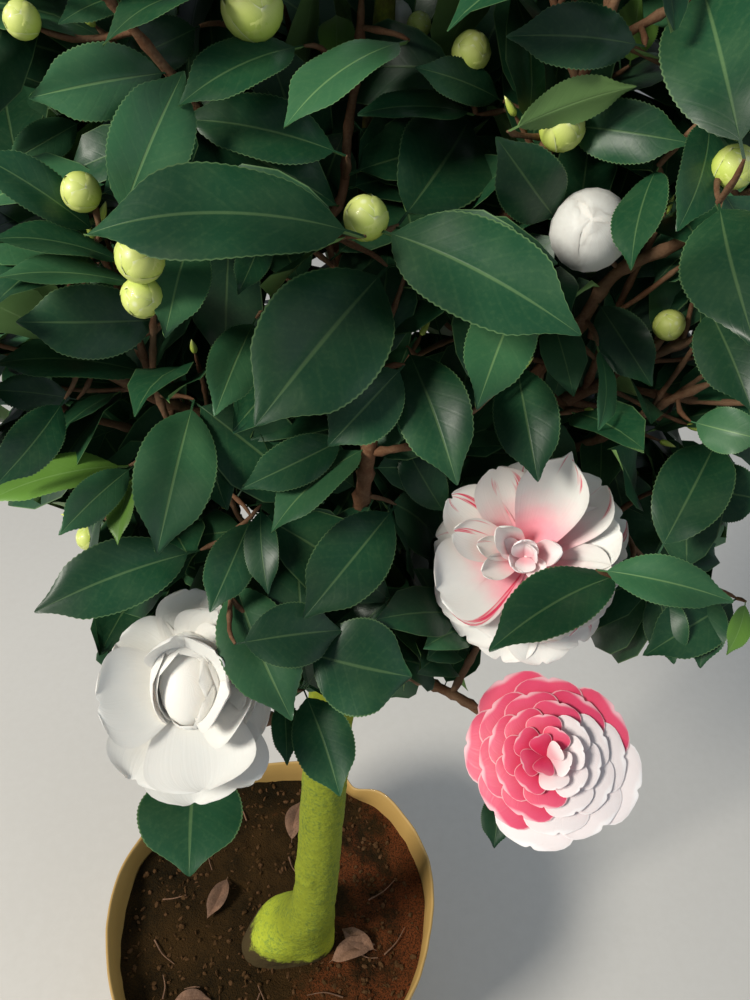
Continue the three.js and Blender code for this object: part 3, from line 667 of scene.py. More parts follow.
class Plant:
    """Where every limb, leaf, bud and bloom of the shrub is."""

    def __init__(self):
        rings = [(ring, index) for ring in RINGS for index in range(ring.count)]
        self.masses = [Mass(ring, index, number) for number, (ring, index) in enumerate(rings)]
        self.screen = Screen(PhotoOutlook())
        self.shared_rods = []
        self.balls = []
        self.buds = []
        self.blooms = []
        self.boughs = []
        self.extra_limbs = []
        self.shown_blades = []
        self.raise_limbs()
        self.place_blooms()
        self.place_shown()
        for mass in self.masses:
            self.grow_twigs(mass)
        self.carry_shown()
        for mass in self.masses:
            self.grow_fine_twigs(mass)
        for mass in self.masses:
            self.grow_leaves(mass)
        self.fill_gaps()
        for mass in self.masses:
            mass.shoots = [shoot for shoot in mass.shoots if shoot.bears or not shoot.fine]
        self.buds = [bud for bud in self.buds if bud.shown or not before_photograph(bud.centre)]

    def raise_limbs(self):
        heights = [(TRUNK_TOP - SOIL_LEVEL) * step / 24 for step in range(25)]
        for low, high in zip(heights, heights[1:]):
            rod = rod_between(trunk_axis(low), trunk_axis(high), trunk_radius(low), "trunk")
            self.shared_rods.append(rod)
        for mass in self.masses:
            mass.meet(self.masses)
        for mass in self.masses:
            if mass.ring.count > 1:
                self.raise_bough(mass)
            else:
                mass.foot = trunk_axis(TRUNK_TOP - SOIL_LEVEL)
                mass.heading = UP.copy()
                mass.foot_radius = TRUNK.tip_radius
                mass.support = "trunk"
        for mass in self.masses:
            chance = seeded(mass.seed)
            start = mass.foot + mass.heading * CLEARANCE
            knots = shoot_knots(start, mass.heading, STEM.length, STEM.steps, STEM.lift, chance)
            tip_radius = mass.foot_radius * (1 - STEM.tip_share)
            self.keep_shoot(mass, knots, mass.foot_radius, tip_radius, 0, mass.support)

    def raise_bough(self, mass):
        ring = mass.ring
        rank = (mass.index * 2) % ring.count
        foot = lean_line(lerp(ring.lowest, ring.highest, rank / (ring.count - 1)))
        reach = (mass.middle - foot).length
        bend = foot + mass.out * (reach * BOUGH.bend_at) + UP * (reach * BOUGH.bend_rise)
        end = BOUGH.shortest
        while end < BOUGH.longest and not mass.holds(bent_way(foot, bend, mass.middle, end), BOUGH.entry):
            end += BOUGH.step
        mass.foot_radius = ring.radius * BOUGH.tip_share
        mass.support = f"bough_{mass.name}"
        knots = [bent_way(foot, bend, mass.middle, end * share) for share in THIRDS]
        bough = Limb(knots, ring.radius, mass.foot_radius, mass.support, BOUGH.spacing)
        mass.foot = bough.points[-1]
        mass.heading = bough.heading(1)
        self.boughs.append(bough)
        self.shared_rods += bough.rods

    def keep_shoot(self, mass, knots, radius, tip_radius, shortest, support=None):
        """Cuts a shoot back to its mass's own space, and keeps it where enough of it is left."""
        kept = [knots[0]]
        length = 0
        for knot in knots[1:]:
            rod = rod_between(kept[-1], knot, radius, mass.name)
            if not mass.holds(knot, radius + GAP.limb) or self.blocked(rod, support, length):
                break
            between = [kept[-1].lerp(knot, share) for share in THIRDS[1:]]
            if mass.shoots and any(self.screen.hidden_by(point) for point in between):
                break
            length += (knot - kept[-1]).length
            kept.append(knot)
        if len(kept) < 2 or length < shortest:
            return None
        shoot = Limb(kept, radius, tip_radius, mass.name)
        mass.shoots.append(shoot)
        mass.rods += shoot.rods
        return shoot

    def blocked(self, rod, support, length):
        for other in self.shared_rods:
            if other.owner == support and length == 0:
                continue
            if (other.middle - rod.middle).length > other.reach + rod.reach + GAP.limb:
                continue
            if distance_between(rod, other) < other.radius + rod.radius + GAP.limb:
                return True
        return any(distance_to_rod(centre, rod) < radius + GAP.limb for centre, radius in self.balls)

    def place_blooms(self):
        self.blooms = list(FRONT_BLOOMS)
        for name, kind in OTHER_BLOOMS.items():
            mass = self.mass_named(name)
            facing = (mass.out + UP * OTHER_BLOOM.look_up).normalized()
            centre = mass.middle.copy()
            half = OTHER_BLOOM.radius / 2
            while mass.holds(centre + facing * half, half):
                centre = centre + facing * OTHER_BLOOM.step
            self.blooms.append(Bloom(kind, name, centre, facing, OTHER_BLOOM.radius))
        for bloom in self.blooms:
            self.balls.append((bloom.centre, bloom.radius * BLOOM_ROOM))
        for bloom in FRONT_BLOOMS:
            self.screen.cover(disc_points(bloom.centre, bloom.radius * BLOOM_COVER))
        for bloom in self.blooms:
            mass = self.mass_named(bloom.mass)
            foot = mass.shoots[0].at(BLOOM_STALK.start)
            back = bloom.facing.normalized() * BLOOM_STALK.bend
            bend = foot.lerp(bloom.centre, 0.5) - back
            end = bloom.centre - back * BLOOM_STALK.end
            knots = [foot, foot.lerp(bend, 0.6).lerp(end, 0.2), bend.lerp(end, 0.5), end]
            stalk = Limb(knots, sizes().twig_radius, sizes().twig_radius, mass.name)
            mass.shoots.append(stalk)
            mass.rods += stalk.rods

    def mass_named(self, name):
        return next(mass for mass in self.masses if mass.name == name)

    def place_shown(self):
        """The leaves and buds of the photograph, before any other leaf."""
        for shown in SHOWN_LEAVES:
            blade = shown_blade(shown)
            self.shown_blades.append(blade)
            self.screen.cover(blade.samples(14, 9))
        for shown in SHOWN_BUDS:
            radius = shown.width / 2 / PHOTO.focal * shown.depth
            centre = seen_at(shown.pixel, shown.depth)
            self.add_bud(centre, Vector(shown.facing).normalized(), radius, shown.kind, True)
            self.screen.cover(disc_points(centre, radius))
        for shown in SHOWN_TWIGS:
            path = smooth_path([seen_at(pixel, depth) for pixel, depth in shown.path], PATH_STEP)
            self.screen.cover(path)

    def grow_twigs(self, mass):
        chance = seeded(mass.seed + 1)
        stem = mass.shoots[0]
        for index in range(TWIG.count):
            share = TWIG.first + (1 - TWIG.first) * (index + 0.5) / TWIG.count
            angle = math.radians(lerp(TWIG.spread, TWIG.tip_spread, share))
            heading = aside(stem.heading(share), angle, GOLDEN_ANGLE * index + chance())
            length = TWIG.length * (1 - TWIG.shorter_at_tip * share) * (TWIG.least + TWIG.more * chance())
            knots = shoot_knots(stem.at(share), heading, length, TWIG.steps, TWIG.lift, chance)
            radius = sizes().twig_radius
            self.keep_shoot(mass, knots, radius, radius * TWIG.tip_share, TWIG.shortest)

    def grow_fine_twigs(self, mass):
        chance = seeded(mass.seed + FINE.seed_step)
        for parent in list(mass.shoots):
            for index, share in enumerate(FINE.shares):
                angle = math.radians(FINE.spread)
                heading = aside(parent.heading(share), angle, GOLDEN_ANGLE * index + 6 * chance())
                length = FINE.length * (1 - FINE.shorter_at_tip * share) * (FINE.least + FINE.more * chance())
                knots = shoot_knots(parent.at(share), heading, length, TWIG.steps, TWIG.lift, chance)
                twig = self.keep_shoot(mass, knots, FINE.radius, FINE.tip_radius, FINE.shortest)
                if twig:
                    twig.fine = True

    def carry_shown(self):
        """Twigs that carry the leaves and buds of the photograph, from the nearest limb."""
        for shown in SHOWN_TWIGS:
            knots = [seen_at(pixel, depth) for pixel, depth in shown.path]
            start = self.nearest_limb_point(knots[0], knots[1] - knots[0])
            if (start - knots[0]).length > CARRY.sag:
                knots = [start, start.lerp(knots[0], 0.55) - UP * CARRY.sag, *knots]
            self.add_limb(knots, shown.radius, shown.tip_radius)
        ends = [(bud.centre - bud.facing * bud.radius * 0.9, bud.facing, CARRY.bud_end) for bud in self.buds]
        ends += [(blade.foot, blade.heading, CARRY.leaf_end) for blade in self.shown_blades]
        ends.sort(key=lambda end: self.distance_to_limbs(end[0]))
        for place, heading, tip_radius in ends:
            start = self.nearest_limb_point(place, heading)
            distance = (start - place).length
            if distance > CARRY.least:
                from_behind = (place - start).dot(heading.normalized()) > distance * CARRY.behind
                bend = place - heading * (distance * (CARRY.bend if from_behind else CARRY.side_bend))
                knots = [bent_way(start, bend, place, share) for share in THIRDS]
                self.add_limb(knots, CARRY.leaf_end + min(CARRY.thicker, distance * 0.01), tip_radius)

    def add_limb(self, knots, radius, tip_radius):
        limb = Limb(knots, radius, tip_radius, "shown", spacing=0.008)
        self.extra_limbs.append(limb)
        self.shared_rods += limb.rods

    def all_limbs(self):
        return [*self.boughs, *(shoot for mass in self.masses for shoot in mass.shoots), *self.extra_limbs]

    def distance_to_limbs(self, place):
        return min(distance_to_rod(place, rod) for limb in self.all_limbs() for rod in limb.rods)

    def nearest_limb_point(self, place, heading):
        """The limb point that a twig to this place would leave from: near, behind it and not above it."""
        heading = heading.normalized()
        best = None
        for limb in self.all_limbs():
            for point in limb.points[1:]:
                away = place - point
                cost = away.length
                if cost > CARRY.farthest:
                    continue
                if cost > 1e-6:
                    cost *= 1 + CARRY.off_line - CARRY.off_line * away.normalized().dot(heading)
                cost += CARRY.in_front * max(0, pixel_of(place)[2] - pixel_of(point)[2])
                if best is None or cost < best[0]:
                    best = (cost, point)
        return best[1]

    def grow_leaves(self, mass):
        chance = seeded(mass.seed + 2)
        bud_radius = sizes().bud_radius
        for shoot in mass.shoots:
            fine = shoot.fine
            spacing = FINE.leaf_spacing if fine else LEAF.spacing
            count = max(2, round(shoot.length * (LEAF.last - LEAF.first) / spacing) + 1)
            draw = chance()
            tone = "mid" if draw < FINE.mid_share else "dark"
            if fine and draw < FINE.young_share:
                tone = "young"
            for index in range(count):
                share = lerp(LEAF.first, LEAF.last, index / (count - 1))
                self.grow_leaf(mass, shoot, share, index, chance, tone, FINE.tries if fine else LEAF.tries)
            facing = shoot.heading(1)
            centre = shoot.points[-1] + facing * bud_radius * BUD.sunk
            has_bud = chance() < (FINE.bud_share if fine else BUD.share)
            if has_bud and mass.holds(centre, bud_radius + GAP.cell) and self.bud_fits(mass, centre):
                shoot.bears = True
                self.add_bud(centre, facing, bud_radius * lerp(BUD.least, BUD.most, chance()), "green", False)

    def add_bud(self, centre, facing, radius, kind, shown):
        self.buds.append(Values(centre=centre, facing=facing, radius=radius, kind=kind, shown=shown))
        self.balls.append((centre, radius))

    def bud_fits(self, mass, centre):
        radius = sizes().bud_radius
        if any((centre - other).length < radius + reach for other, reach in self.balls):
            return False
        if self.screen.hidden_by(centre, BUD.behind):
            return False
        near = (blade for blade in mass.blades if (blade.middle - centre).length < blade.reach + radius)
        return all((point - centre).length > radius for blade in near for point in blade.samples())

    def grow_leaf(self, mass, shoot, share, index, chance, tone, tries):
        foot = shoot.at(share)
        axis = shoot.heading(share)
        length = sizes().leaf_length + LEAF.length_span * (chance() - 0.5)
        first = GOLDEN_ANGLE * index + chance()
        shape = int(chance() * len(LEAF_BENDS))
        face = UP + mass.out * LEAF.look_out + axis * LEAF.look_along
        for attempt in range(tries):
            angle = math.radians(LEAF.spreads[attempt % len(LEAF.spreads)])
            heading = (aside(axis, angle, first + attempt * LEAF.turn) - UP * LEAF.droop).normalized()
            size = length * (1 - LEAF.shrink * attempt)
            blade = Blade(foot, foot + heading * size, face, size * sizes().leaf_width, tone, shape)
            if self.blade_fits(mass, blade, shoot):
                mass.blades.append(blade)
                shoot.bears = True
                return

    def blade_fits(self, mass, blade, carrier):
        if not all(mass.holds(point, GAP.cell) for point in (blade.tip, blade.left, blade.right)):
            return False
        samples = blade.samples()
        for centre, radius in self.balls:
            if (centre - blade.middle).length < blade.reach + radius:
                if any((point - centre).length < radius + GAP.cell for point in samples):
                    return False
        if any(self.screen.hidden_by(point) for point in samples):
            return False
        own = {id(rod) for rod in carrier.rods}
        for rod in [*self.shared_rods, *mass.rods]:
            if id(rod) in own or (rod.middle - blade.middle).length > blade.reach + rod.reach + GAP.leaf:
                continue
            if any(distance_to_rod(point, rod) < rod.radius + GAP.leaf for point in samples):
                return False
            if any(cuts(rod.a, rod.a + rod.run, half) for half in blade.halves):
                return False
        return not any(blades_cross(blade, other) for other in [*mass.blades, *self.shown_blades])

    def fill_gaps(self):
        """Leaves turn into the gaps that are left between the others, seen from the front and every side."""
        chance = seeded(FILL.seed)
        self.twig_points = [
            (limb, share)
            for limb in [*(shoot for mass in self.masses for shoot in mass.shoots), *self.extra_limbs]
            for share in SIXTHS[1:]
        ]
        self.twig_places = np.array([tuple(limb.at(share)) for limb, share in self.twig_points])
        self.every_rod = [*self.shared_rods, *(rod for mass in self.masses for rod in mass.rods)]
        self.every_blade = [*self.shown_blades, *(blade for mass in self.masses for blade in mass.blades)]
        self.fill_from(PhotoOutlook(), FILL.front_sizes, chance)
        for azimuth, elevation in FILL.outlooks:
            outlook = SideOutlook(math.radians(azimuth), math.radians(elevation))
            self.fill_from(outlook, FILL.side_sizes, chance)

    def fill_from(self, outlook, lengths, chance):
        seen = Screen(outlook)
        for blade in self.every_blade:
            seen.cover(blade.samples(10, 5))
        for length in lengths:
            for row in np.arange(0, outlook.rows, FILL.step):
                for column in np.arange(0, outlook.columns, FILL.step):
                    spot = (column + FILL.step * chance(), row + FILL.step * chance())
                    blade = self.gap_leaf(seen, spot, length, chance)
                    if blade:
                        self.every_blade.append(blade)
                        seen.cover(blade.samples(10, 5))

    def gap_leaf(self, seen, spot, size, chance):
        """A leaf that grows from a near twig through a gap, if one fits."""
        outlook = seen.outlook
        entry = outlook.start
        while entry < outlook.deepest and not in_crown(outlook.place(*spot, entry)):
            entry += FILL.depth_step
        if entry >= outlook.deepest:
            return None
        if isinstance(outlook, PhotoOutlook):
            entry = max(entry, self.screen.depth_near(*spot))
        if seen.depth_at(*spot) < entry + outlook.within:
            return None
        middle = outlook.place(*spot, entry + FILL.depths[1])
        near = Values(
            blades=[blade for blade in self.every_blade if (blade.middle - middle).length < FILL.near],
            rods=[rod for rod in self.every_rod if (rod.middle - middle).length < FILL.near],
            balls=[ball for ball in self.balls if (ball[0] - middle).length < FILL.near],
        )
        for behind in FILL.depths:
            place = outlook.place(*spot, entry + behind)
            if not in_crown(place):
                continue
            distances = np.linalg.norm(self.twig_places - np.array(place), axis=1)
            for number in np.argsort(distances)[:FILL.choices]:
                if not FILL.shortest_reach < distances[number] / size < FILL.longest_reach:
                    continue
                limb, share = self.twig_points[number]
                foot = limb.at(share)
                way = (place - foot).normalized()
                length = size * (FILL.least + FILL.more * chance())
                tone = "mid" if chance() < FILL.mid_share else "dark"
                shape = int(chance() * len(LEAF_BENDS))
                for lean in FILL.leans:
                    face = UP - outlook.forward_at(place) * lean
                    width = length * sizes().leaf_width
                    blade = Blade(foot, foot + way * length, face, width, tone, shape)
                    if self.gap_leaf_fits(blade, limb, near):
                        mass = min(self.masses, key=lambda each: (each.middle - blade.middle).length)
                        mass.blades.append(blade)
                        limb.bears = True
                        return blade
        return None

    def gap_leaf_fits(self, blade, carrier, near):
        samples = blade.samples()
        if not all(in_crown(point) for point in samples):
            return False
        if any(self.screen.hidden_by(point) for point in samples):
            return False
        for centre, radius in near.balls:
            if any((point - centre).length < radius + GAP.cell for point in samples):
                return False
        own = {id(rod) for rod in carrier.rods}
        for rod in near.rods:
            if id(rod) in own or (rod.middle - blade.middle).length > blade.reach + rod.reach:
                continue
            if any(cuts(rod.a, rod.a + rod.run, half) for half in blade.halves):
                return False
        return not any(blades_cross(blade, other) for other in near.blades)


DISC_STEPS = 13


def disc_points(centre, radius):
    """Places over a disc that faces the photograph's camera, close enough to leave no cell out."""
    facing = PHOTO.eye - centre
    side = facing.orthogonal().normalized()
    other = facing.cross(side).normalized()
    steps = [step / DISC_STEPS for step in range(-DISC_STEPS, DISC_STEPS + 1)]
    offsets = [(x, y) for x in steps for y in steps if math.hypot(x, y) <= 1]
    return [centre + (side * x + other * y) * radius for x, y in offsets]


STALK = 0.008
NARROWEST = 0.47


def shown_blade(shown):
    """The blade of a leaf of the photograph. Its stalk goes on from the foot that shows."""
    foot = seen_at(shown.foot, shown.foot_depth)
    tip = seen_at(shown.tip, shown.tip_depth)
    heading = (tip - foot).normalized()
    middle = foot.lerp(tip, 0.5)
    to_eye = PHOTO.eye - middle
    to_eye = (to_eye - heading * to_eye.dot(heading)).normalized()
    seen_width = shown.width / PHOTO.focal * pixel_of(middle)[2]
    width = max(seen_width, NARROWEST * (tip - foot).length)
    roll = math.acos(seen_width / width)
    side = heading.cross(to_eye)
    if side.z < 0:
        side = -side
    face = to_eye * math.cos(roll) + side * math.sin(roll) * shown.turn
    if shown.tone == "under":
        face = -face
    blade = Blade(foot - heading * STALK, tip, face, width, shown.tone)
    blade.arch = shown.arch
    return blade


@lru_cache(maxsize=1)
def plant():
    return Plant()


# Meshes.

SHARP_ANGLE = math.radians(60)


class Heap:
    """Points and faces that are gathered into one mesh, with a UV place for each point."""

    def __init__(self):
        self.points = []
        self.places = []
        self.faces = []
        self.finishes = []

    def add(self, points, faces, places=None, finish=0, matrix=None):
        start = len(self.points)
        self.points += [matrix @ point for point in points] if matrix else list(points)
        self.places += places or [(0, 0)] * len(points)
        self.faces += [tuple(start + corner for corner in face) for face in faces]
        self.finishes += finish if isinstance(finish, list) else [finish] * len(faces)

    def mesh(self, name, materials):
        mesh = bpy.data.meshes.new(name)
        mesh.from_pydata(self.points, [], self.faces)
        layer = mesh.uv_layers.new(name="UVMap")
        corners = np.zeros(len(mesh.loops), np.int32)
        mesh.loops.foreach_get("vertex_index", corners)
        layer.data.foreach_set("uv", np.array(self.places, np.float32)[corners].ravel())
        for material in materials:
            mesh.materials.append(material)
        mesh.polygons.foreach_set("material_index", np.array(self.finishes, np.int32))
        mesh.polygons.foreach_set("use_smooth", np.ones(len(mesh.polygons), bool))
        mesh.set_sharp_from_angle(angle=SHARP_ANGLE)
        mesh.update()
        return mesh

    def piece(self, name, materials):
        return new_object(name, self.mesh(name, materials))


def new_object(name, data):
    made = bpy.data.objects.new(name, data)
    bpy.context.scene.collection.objects.link(made)
    return made


def keep(piece, slot, *nodes):
    """Rides a finished piece on the plant's one body and hides the nodes it stands for; the slot, its finish,
    is not used.
    """
    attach(piece, "root")
    if nodes:
        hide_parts(*nodes)


def shell(place, rows, columns, thickness):
    """A thin closed sheet. place gives its upper side by shares across (-1 to 1) and along (0 to 1)."""
    shares = [2 * column / columns - 1 for column in range(columns + 1)]
    top = [[Vector(place(s, t)) for s in shares] for t in rows]
    last = len(rows) - 1
    points = []
    places = []
    index = {}
    for r, t in enumerate(rows):
        for c, s in enumerate(shares):
            index[r, c] = len(points)
            points.append(top[r][c])
            places.append(((s + 1) / 2, t))
    under = dict(index)
    for r in range(1, last):
        for c in range(1, columns):
            along = top[r + 1][c] - top[r - 1][c]
            across = top[r][c + 1] - top[r][c - 1]
            normal = along.cross(across).normalized()
            under[r, c] = len(points)
            points.append(top[r][c] - normal * thickness(shares[c], rows[r]))
            places.append(((shares[c] + 1) / 2, rows[r]))
    faces = []
    sides = []
    for r in range(last):
        for c in range(columns):
            faces.append((index[r, c], index[r + 1, c], index[r + 1, c + 1], index[r, c + 1]))
            sides.append(0)
            faces.append((under[r, c], under[r, c + 1], under[r + 1, c + 1], under[r + 1, c]))
            sides.append(1)
    return points, faces, places, sides


def frame_matrix(foot, heading, face):
    """Turns X to the heading and Z to the face, at the foot."""
    x = heading.normalized()
    y = face.cross(x).normalized()
    z = x.cross(y)
    matrix = Matrix((x, y, z)).transposed().to_4x4()
    matrix.translation = foot
    return matrix


# One leaf's shape, for a leaf of length 1 along X with its upper side to +Z.

LeafBend = namedtuple("LeafBend", "arch droop keel sway wave")
LEAF_BENDS = [
    LeafBend(0.06, 0.05, 0.26, 0.02, 0.1),
    LeafBend(0.1, 0.1, 0.2, -0.03, 0.4),
    LeafBend(0.04, 0.02, 0.32, 0.04, 0.7),
    LeafBend(0.12, 0.14, 0.24, -0.015, 0.9),
    LeafBend(0.08, 0.02, 0.14, 0.0, 0.25),
]
STALK_SHARE = 0.09
TOOTH_ROWS = 60
TOOTH_DEPTH = -0.0006


def leaf_half(t):
    """A camellia leaf's half width, for a width of 1: a narrow stalk, a broad blade and a short point."""
    if t < STALK_SHARE:
        return 0.014
    u = (t - STALK_SHARE) / (1 - STALK_SHARE)
    blade = (u ** 0.7) * (1 - u) ** 0.78 * (1 - 0.5 * smooth_step(u, 0.72, 0.97))
    return 0.01 + 0.49 * blade / 0.361


def leaf_place(length, width, bend, teeth=0):
    def place(s, t):
        half = leaf_half(t) * width
        if abs(s) == 1 and t > STALK_SHARE:
            half += teeth * (round(t * TOOTH_ROWS) % 2) * min(1, 6 * (1 - t))
        edge = abs(s)
        lift = bend.keel * half * (edge ** 1.3) * (1 - 0.55 * edge * edge)
        wave = 0.035 * width * s * edge * math.sin(2 * math.pi * (1.6 * t + bend.wave))
        arch = bend.arch * 4 * t * (1 - t) - bend.droop * max(0, t - 0.62) ** 2
        return (
            t * length,
            s * half + bend.sway * length * math.sin(math.pi * t),
            arch * length + (lift + wave) * smooth_step(t, STALK_SHARE, 0.3),
        )
    return place


def leaf_thickness(length):
    def thickness(s, t):
        rib = math.exp(-((s / 0.2) ** 2)) * (1 - 0.7 * t)
        stalk = 1 - smooth_step(t, STALK_SHARE * 0.8, STALK_SHARE * 1.8)
        return length * (0.004 + 0.007 * rib + 0.01 * stalk)
    return thickness


def evenly(thickness):
    """The same thickness all over a sheet."""
    return lambda s, t: thickness


# Petals and the scales of buds.

def petal_half(t):
    return (0.1 + 0.9 * t ** 0.8) * math.sqrt(max(0.0, 1 - t ** 4.6)) / 1.39


def petal_place(length, width, curl, cup, notch, ruffle, phase):
    def place(s, t):
        reach = t * (1 - notch * math.exp(-((s / 0.3) ** 2)) * t ** 4)
        angle = curl * reach
        x = length * (math.sin(angle) / curl if abs(curl) > 1e-3 else reach)
        z = length * ((1 - math.cos(angle)) / curl if abs(curl) > 1e-3 else 0)
        half = width * petal_half(min(t, 0.995))
        rise = cup * half * s * s
        rise += ruffle * width * t * t * s * math.sin(2.6 * s + 5 * t + phase)
        return (x - rise * math.sin(angle), s * half, z + rise * math.cos(angle))
    return place


def scale_place(radius, spread, low, high, lift, point):
    """A scale that wraps a ball: from a low latitude to a high one, about the X axis."""
    def place(s, t):
        latitude = lerp(low, high, t)
        width = spread * (1 - t ** point) ** 0.5 if t < 1 else 0.02
        longitude = s * max(0.02, width)
        r = radius * (1 + lift * (1 + s) * (0.3 + 0.7 * t))
        ring = r * math.cos(latitude)
        return (r * math.sin(latitude), -ring * math.sin(longitude), ring * math.cos(longitude))
    return place


def skin(foot, rings, top):
    """A closed skin: rings of corners, anticlockwise seen from the top, from a foot point to a top point."""
    sides = len(rings[0])
    points = [foot, *(corner for ring in rings for corner in ring), top]
    last = len(points) - 1 - sides
    faces = []
    for side in range(sides):
        after = (side + 1) % sides
        faces += [(0, 1 + after, 1 + side), (last + sides, last + side, last + after)]
        for low in range(1, last, sides):
            faces.append((low + side, low + after, low + sides + after, low + sides + side))
    return points, faces


def even_rows(count):
    return [step / count for step in range(count + 1)]


def tip_rows(count):
    """Rows that crowd toward a petal's round tip."""
    return [1 - (1 - share) ** 1.7 for share in even_rows(count)]


def turns_of(sides):
    return [2 * math.pi * side / sides for side in range(sides)]


def spindle(stations, sides):
    """A closed round shape about the X axis, through stations of x and radius, with its UV places."""
    last = len(stations) - 1
    rings = [
        [Vector((x, radius * math.cos(turn), radius * math.sin(turn))) for turn in turns_of(sides)]
        for x, radius in stations[1:-1]
    ]
    points, faces = skin(Vector((stations[0][0], 0, 0)), rings, Vector((stations[-1][0], 0, 0)))
    between = [(side / sides, ring / last) for ring in range(1, last) for side in range(sides)]
    return points, faces, [(0.5, 0), *between, (0.5, 1)]


def ball(radius, stretch=1.0, rings=10, sides=16):
    """A closed ball about the X axis."""
    angles = [math.pi * ring / rings - math.pi / 2 for ring in range(rings + 1)]
    stations = [(radius * stretch * math.sin(angle), radius * math.cos(angle)) for angle in angles]
    return spindle(stations, sides)


def tube(points, radius_at, sides, relief=None):
    """A closed limb through points, with a ring of corners at each."""
    side = (points[1] - points[0]).orthogonal().normalized()
    last = len(points) - 1
    rings = []
    for i, point in enumerate(points):
        along = (points[min(i + 1, last)] - points[max(i - 1, 0)]).normalized()
        side = (side - along * side.dot(along)).normalized()
        across = along.cross(side)
        ring = []
        for turn in turns_of(sides):
            way = side * math.cos(turn) + across * math.sin(turn)
            place = point + way * radius_at(i / last)
            ring.append(place + way * relief(place) if relief else place)
        rings.append(ring)
    return skin(points[0], rings, points[-1])


# Nodes. A signal is a number, vector or colour that changes over a surface or from point to point.

class Signal:
    """A node's output. Plain arithmetic on it adds math nodes to its tree."""

    def __init__(self, tree, socket):
        self.tree = tree
        self.socket = socket

    def math(self, operation, *others):
        given = dict(enumerate([self, *others]))
        return put(self.tree, "ShaderNodeMath", given, operation=operation).signal()

    def __add__(self, other):
        return self.math("ADD", other)

    def __sub__(self, other):
        return self.math("SUBTRACT", other)

    def __mul__(self, other):
        return self.math("MULTIPLY", other)


class Node(namedtuple("Node", "tree node")):
    """A node in its tree."""

    def signal(self, output=0):
        return Signal(self.tree, self.node.outputs[output])


def put(tree, kind, inputs=None, **settings):
    """Adds a node, sets its options, and fills or links its inputs, by name or place."""
    node = tree.nodes.new(kind)
    for name, value in settings.items():
        setattr(node, name, value)
    for key, value in (inputs or {}).items():
        if isinstance(value, Signal):
            tree.links.new(value.socket, node.inputs[key])
        else:
            node.inputs[key].default_value = value
    return Node(tree, node)


def given_signals(tree):
    sockets = tree.nodes.new("NodeGroupInput").outputs
    return {socket.name: Signal(tree, socket) for socket in sockets if socket.name}


def mix(factor, first, second, mode="MIX"):
    inputs = {0: factor, 6: first, 7: second}
    return put(first.tree, "ShaderNodeMix", inputs, data_type="RGBA", blend_type=mode).signal(2)


def span(value, low, high, to_low=0.0, to_high=1.0):
    """Eases from one value to another while a signal goes from low to high."""
    inputs = {0: value, 1: low, 2: high, 3: to_low, 4: to_high}
    return put(value.tree, "ShaderNodeMapRange", inputs, interpolation_type="SMOOTHSTEP").signal()


def cloud(vector, scale, detail=3.0, roughness=0.55):
    inputs = {"Vector": vector, "Scale": scale, "Detail": detail, "Roughness": roughness}
    return put(vector.tree, "ShaderNodeTexNoise", inputs).signal()


def stretched(vector, scale):
    return put(vector.tree, "ShaderNodeMapping", {"Vector": vector, "Scale": scale}).signal()


def vector_math(operation, vector, inputs=None, output=0):
    given = {0: vector, **(inputs or {})}
    return put(vector.tree, "ShaderNodeVectorMath", given, operation=operation).signal(output)


def parts(vector):
    """A vector's three numbers."""
    split = put(vector.tree, "ShaderNodeSeparateXYZ", {0: vector})
    return [split.signal(axis) for axis in range(3)]


def joined(tree, x, y, z):
    return put(tree, "ShaderNodeCombineXYZ", {0: x, 1: y, 2: z}).signal()


def object_place(tree):
    return put(tree, "ShaderNodeTexCoord").signal("Object")


def uv_place(tree):
    return put(tree, "ShaderNodeUVMap", uv_map="UVMap").signal()


COLOUR, NUMBER = "NodeSocketColor", "NodeSocketFloat"
SURFACE = {"Colour": COLOUR, "Roughness": NUMBER, "Height": NUMBER}
WHITE = (1.0, 1.0, 1.0, 1.0)


def new_group(name, inputs):
    """A shader node group that puts out a surface: its tree and its inputs as signals."""
    tree = bpy.data.node_groups.new(name, "ShaderNodeTree")
    for label, default in inputs.items():
        kind = NUMBER if isinstance(default, float) else COLOUR
        tree.interface.new_socket(label, in_out="INPUT", socket_type=kind).default_value = default
    for label, kind in SURFACE.items():
        tree.interface.new_socket(label, in_out="OUTPUT", socket_type=kind)
    return tree, given_signals(tree)


def finish_group(colour, roughness, height):
    results = {"Colour": colour, "Roughness": roughness, "Height": height}
    put(colour.tree, "NodeGroupOutput", results)
    return colour.tree


@lru_cache(maxsize=None)
def leaf_group():
    """Blade, pale midrib, side veins and a painted highlight along the edge, by the leaf's UV map, with
    uneven colour and gloss.
    """
    inputs = {"Blade": WHITE, "Vein": WHITE, "Vein Strength": 0.6, "Gloss": 0.5}
    tree, given = new_group("leaf surface", inputs)
    across, along, _ = parts(uv_place(tree))
    place = object_place(tree)
    beside = (across - 0.5).math("ABSOLUTE")
    rib = span(beside, 0.007, 0.024, 1.0, 0.0)
    vein = span(((along - beside * 3.4 * 0.14) * 56.0).math("SINE"), 0.75, 1.0)
    # A thin pale band along the edge: a painted highlight where light catches the leaf's margin.
    margin = span(beside, 0.478, 0.494, 0.0, 0.4)
    patches = cloud(place, 38.0, 4.0)
    grain = cloud(place, 420.0)
    paler = span(patches, 0.4, 0.75) * 0.3 + span(grain, 0.45, 0.75) * 0.25
    blade = mix(paler, given["Blade"], mix(0.2, given["Blade"], given["Vein"]))
    pale = (rib * given["Vein Strength"]).math("MAXIMUM", (vein * 0.02).math("MAXIMUM", margin))
    lit = span(cloud(place, 13.0, 1.0), 0.35, 0.65, 0.7, 1.35)
    colour = vector_math("SCALE", mix(pale, blade, given["Vein"]), {"Scale": lit})
    rough = span(patches, 0.3, 0.8, 0.42, 0.6) - given["Gloss"] * 0.1
    return finish_group(colour, rough, grain * 0.3 - vein * 0.09 - rib * 0.5)


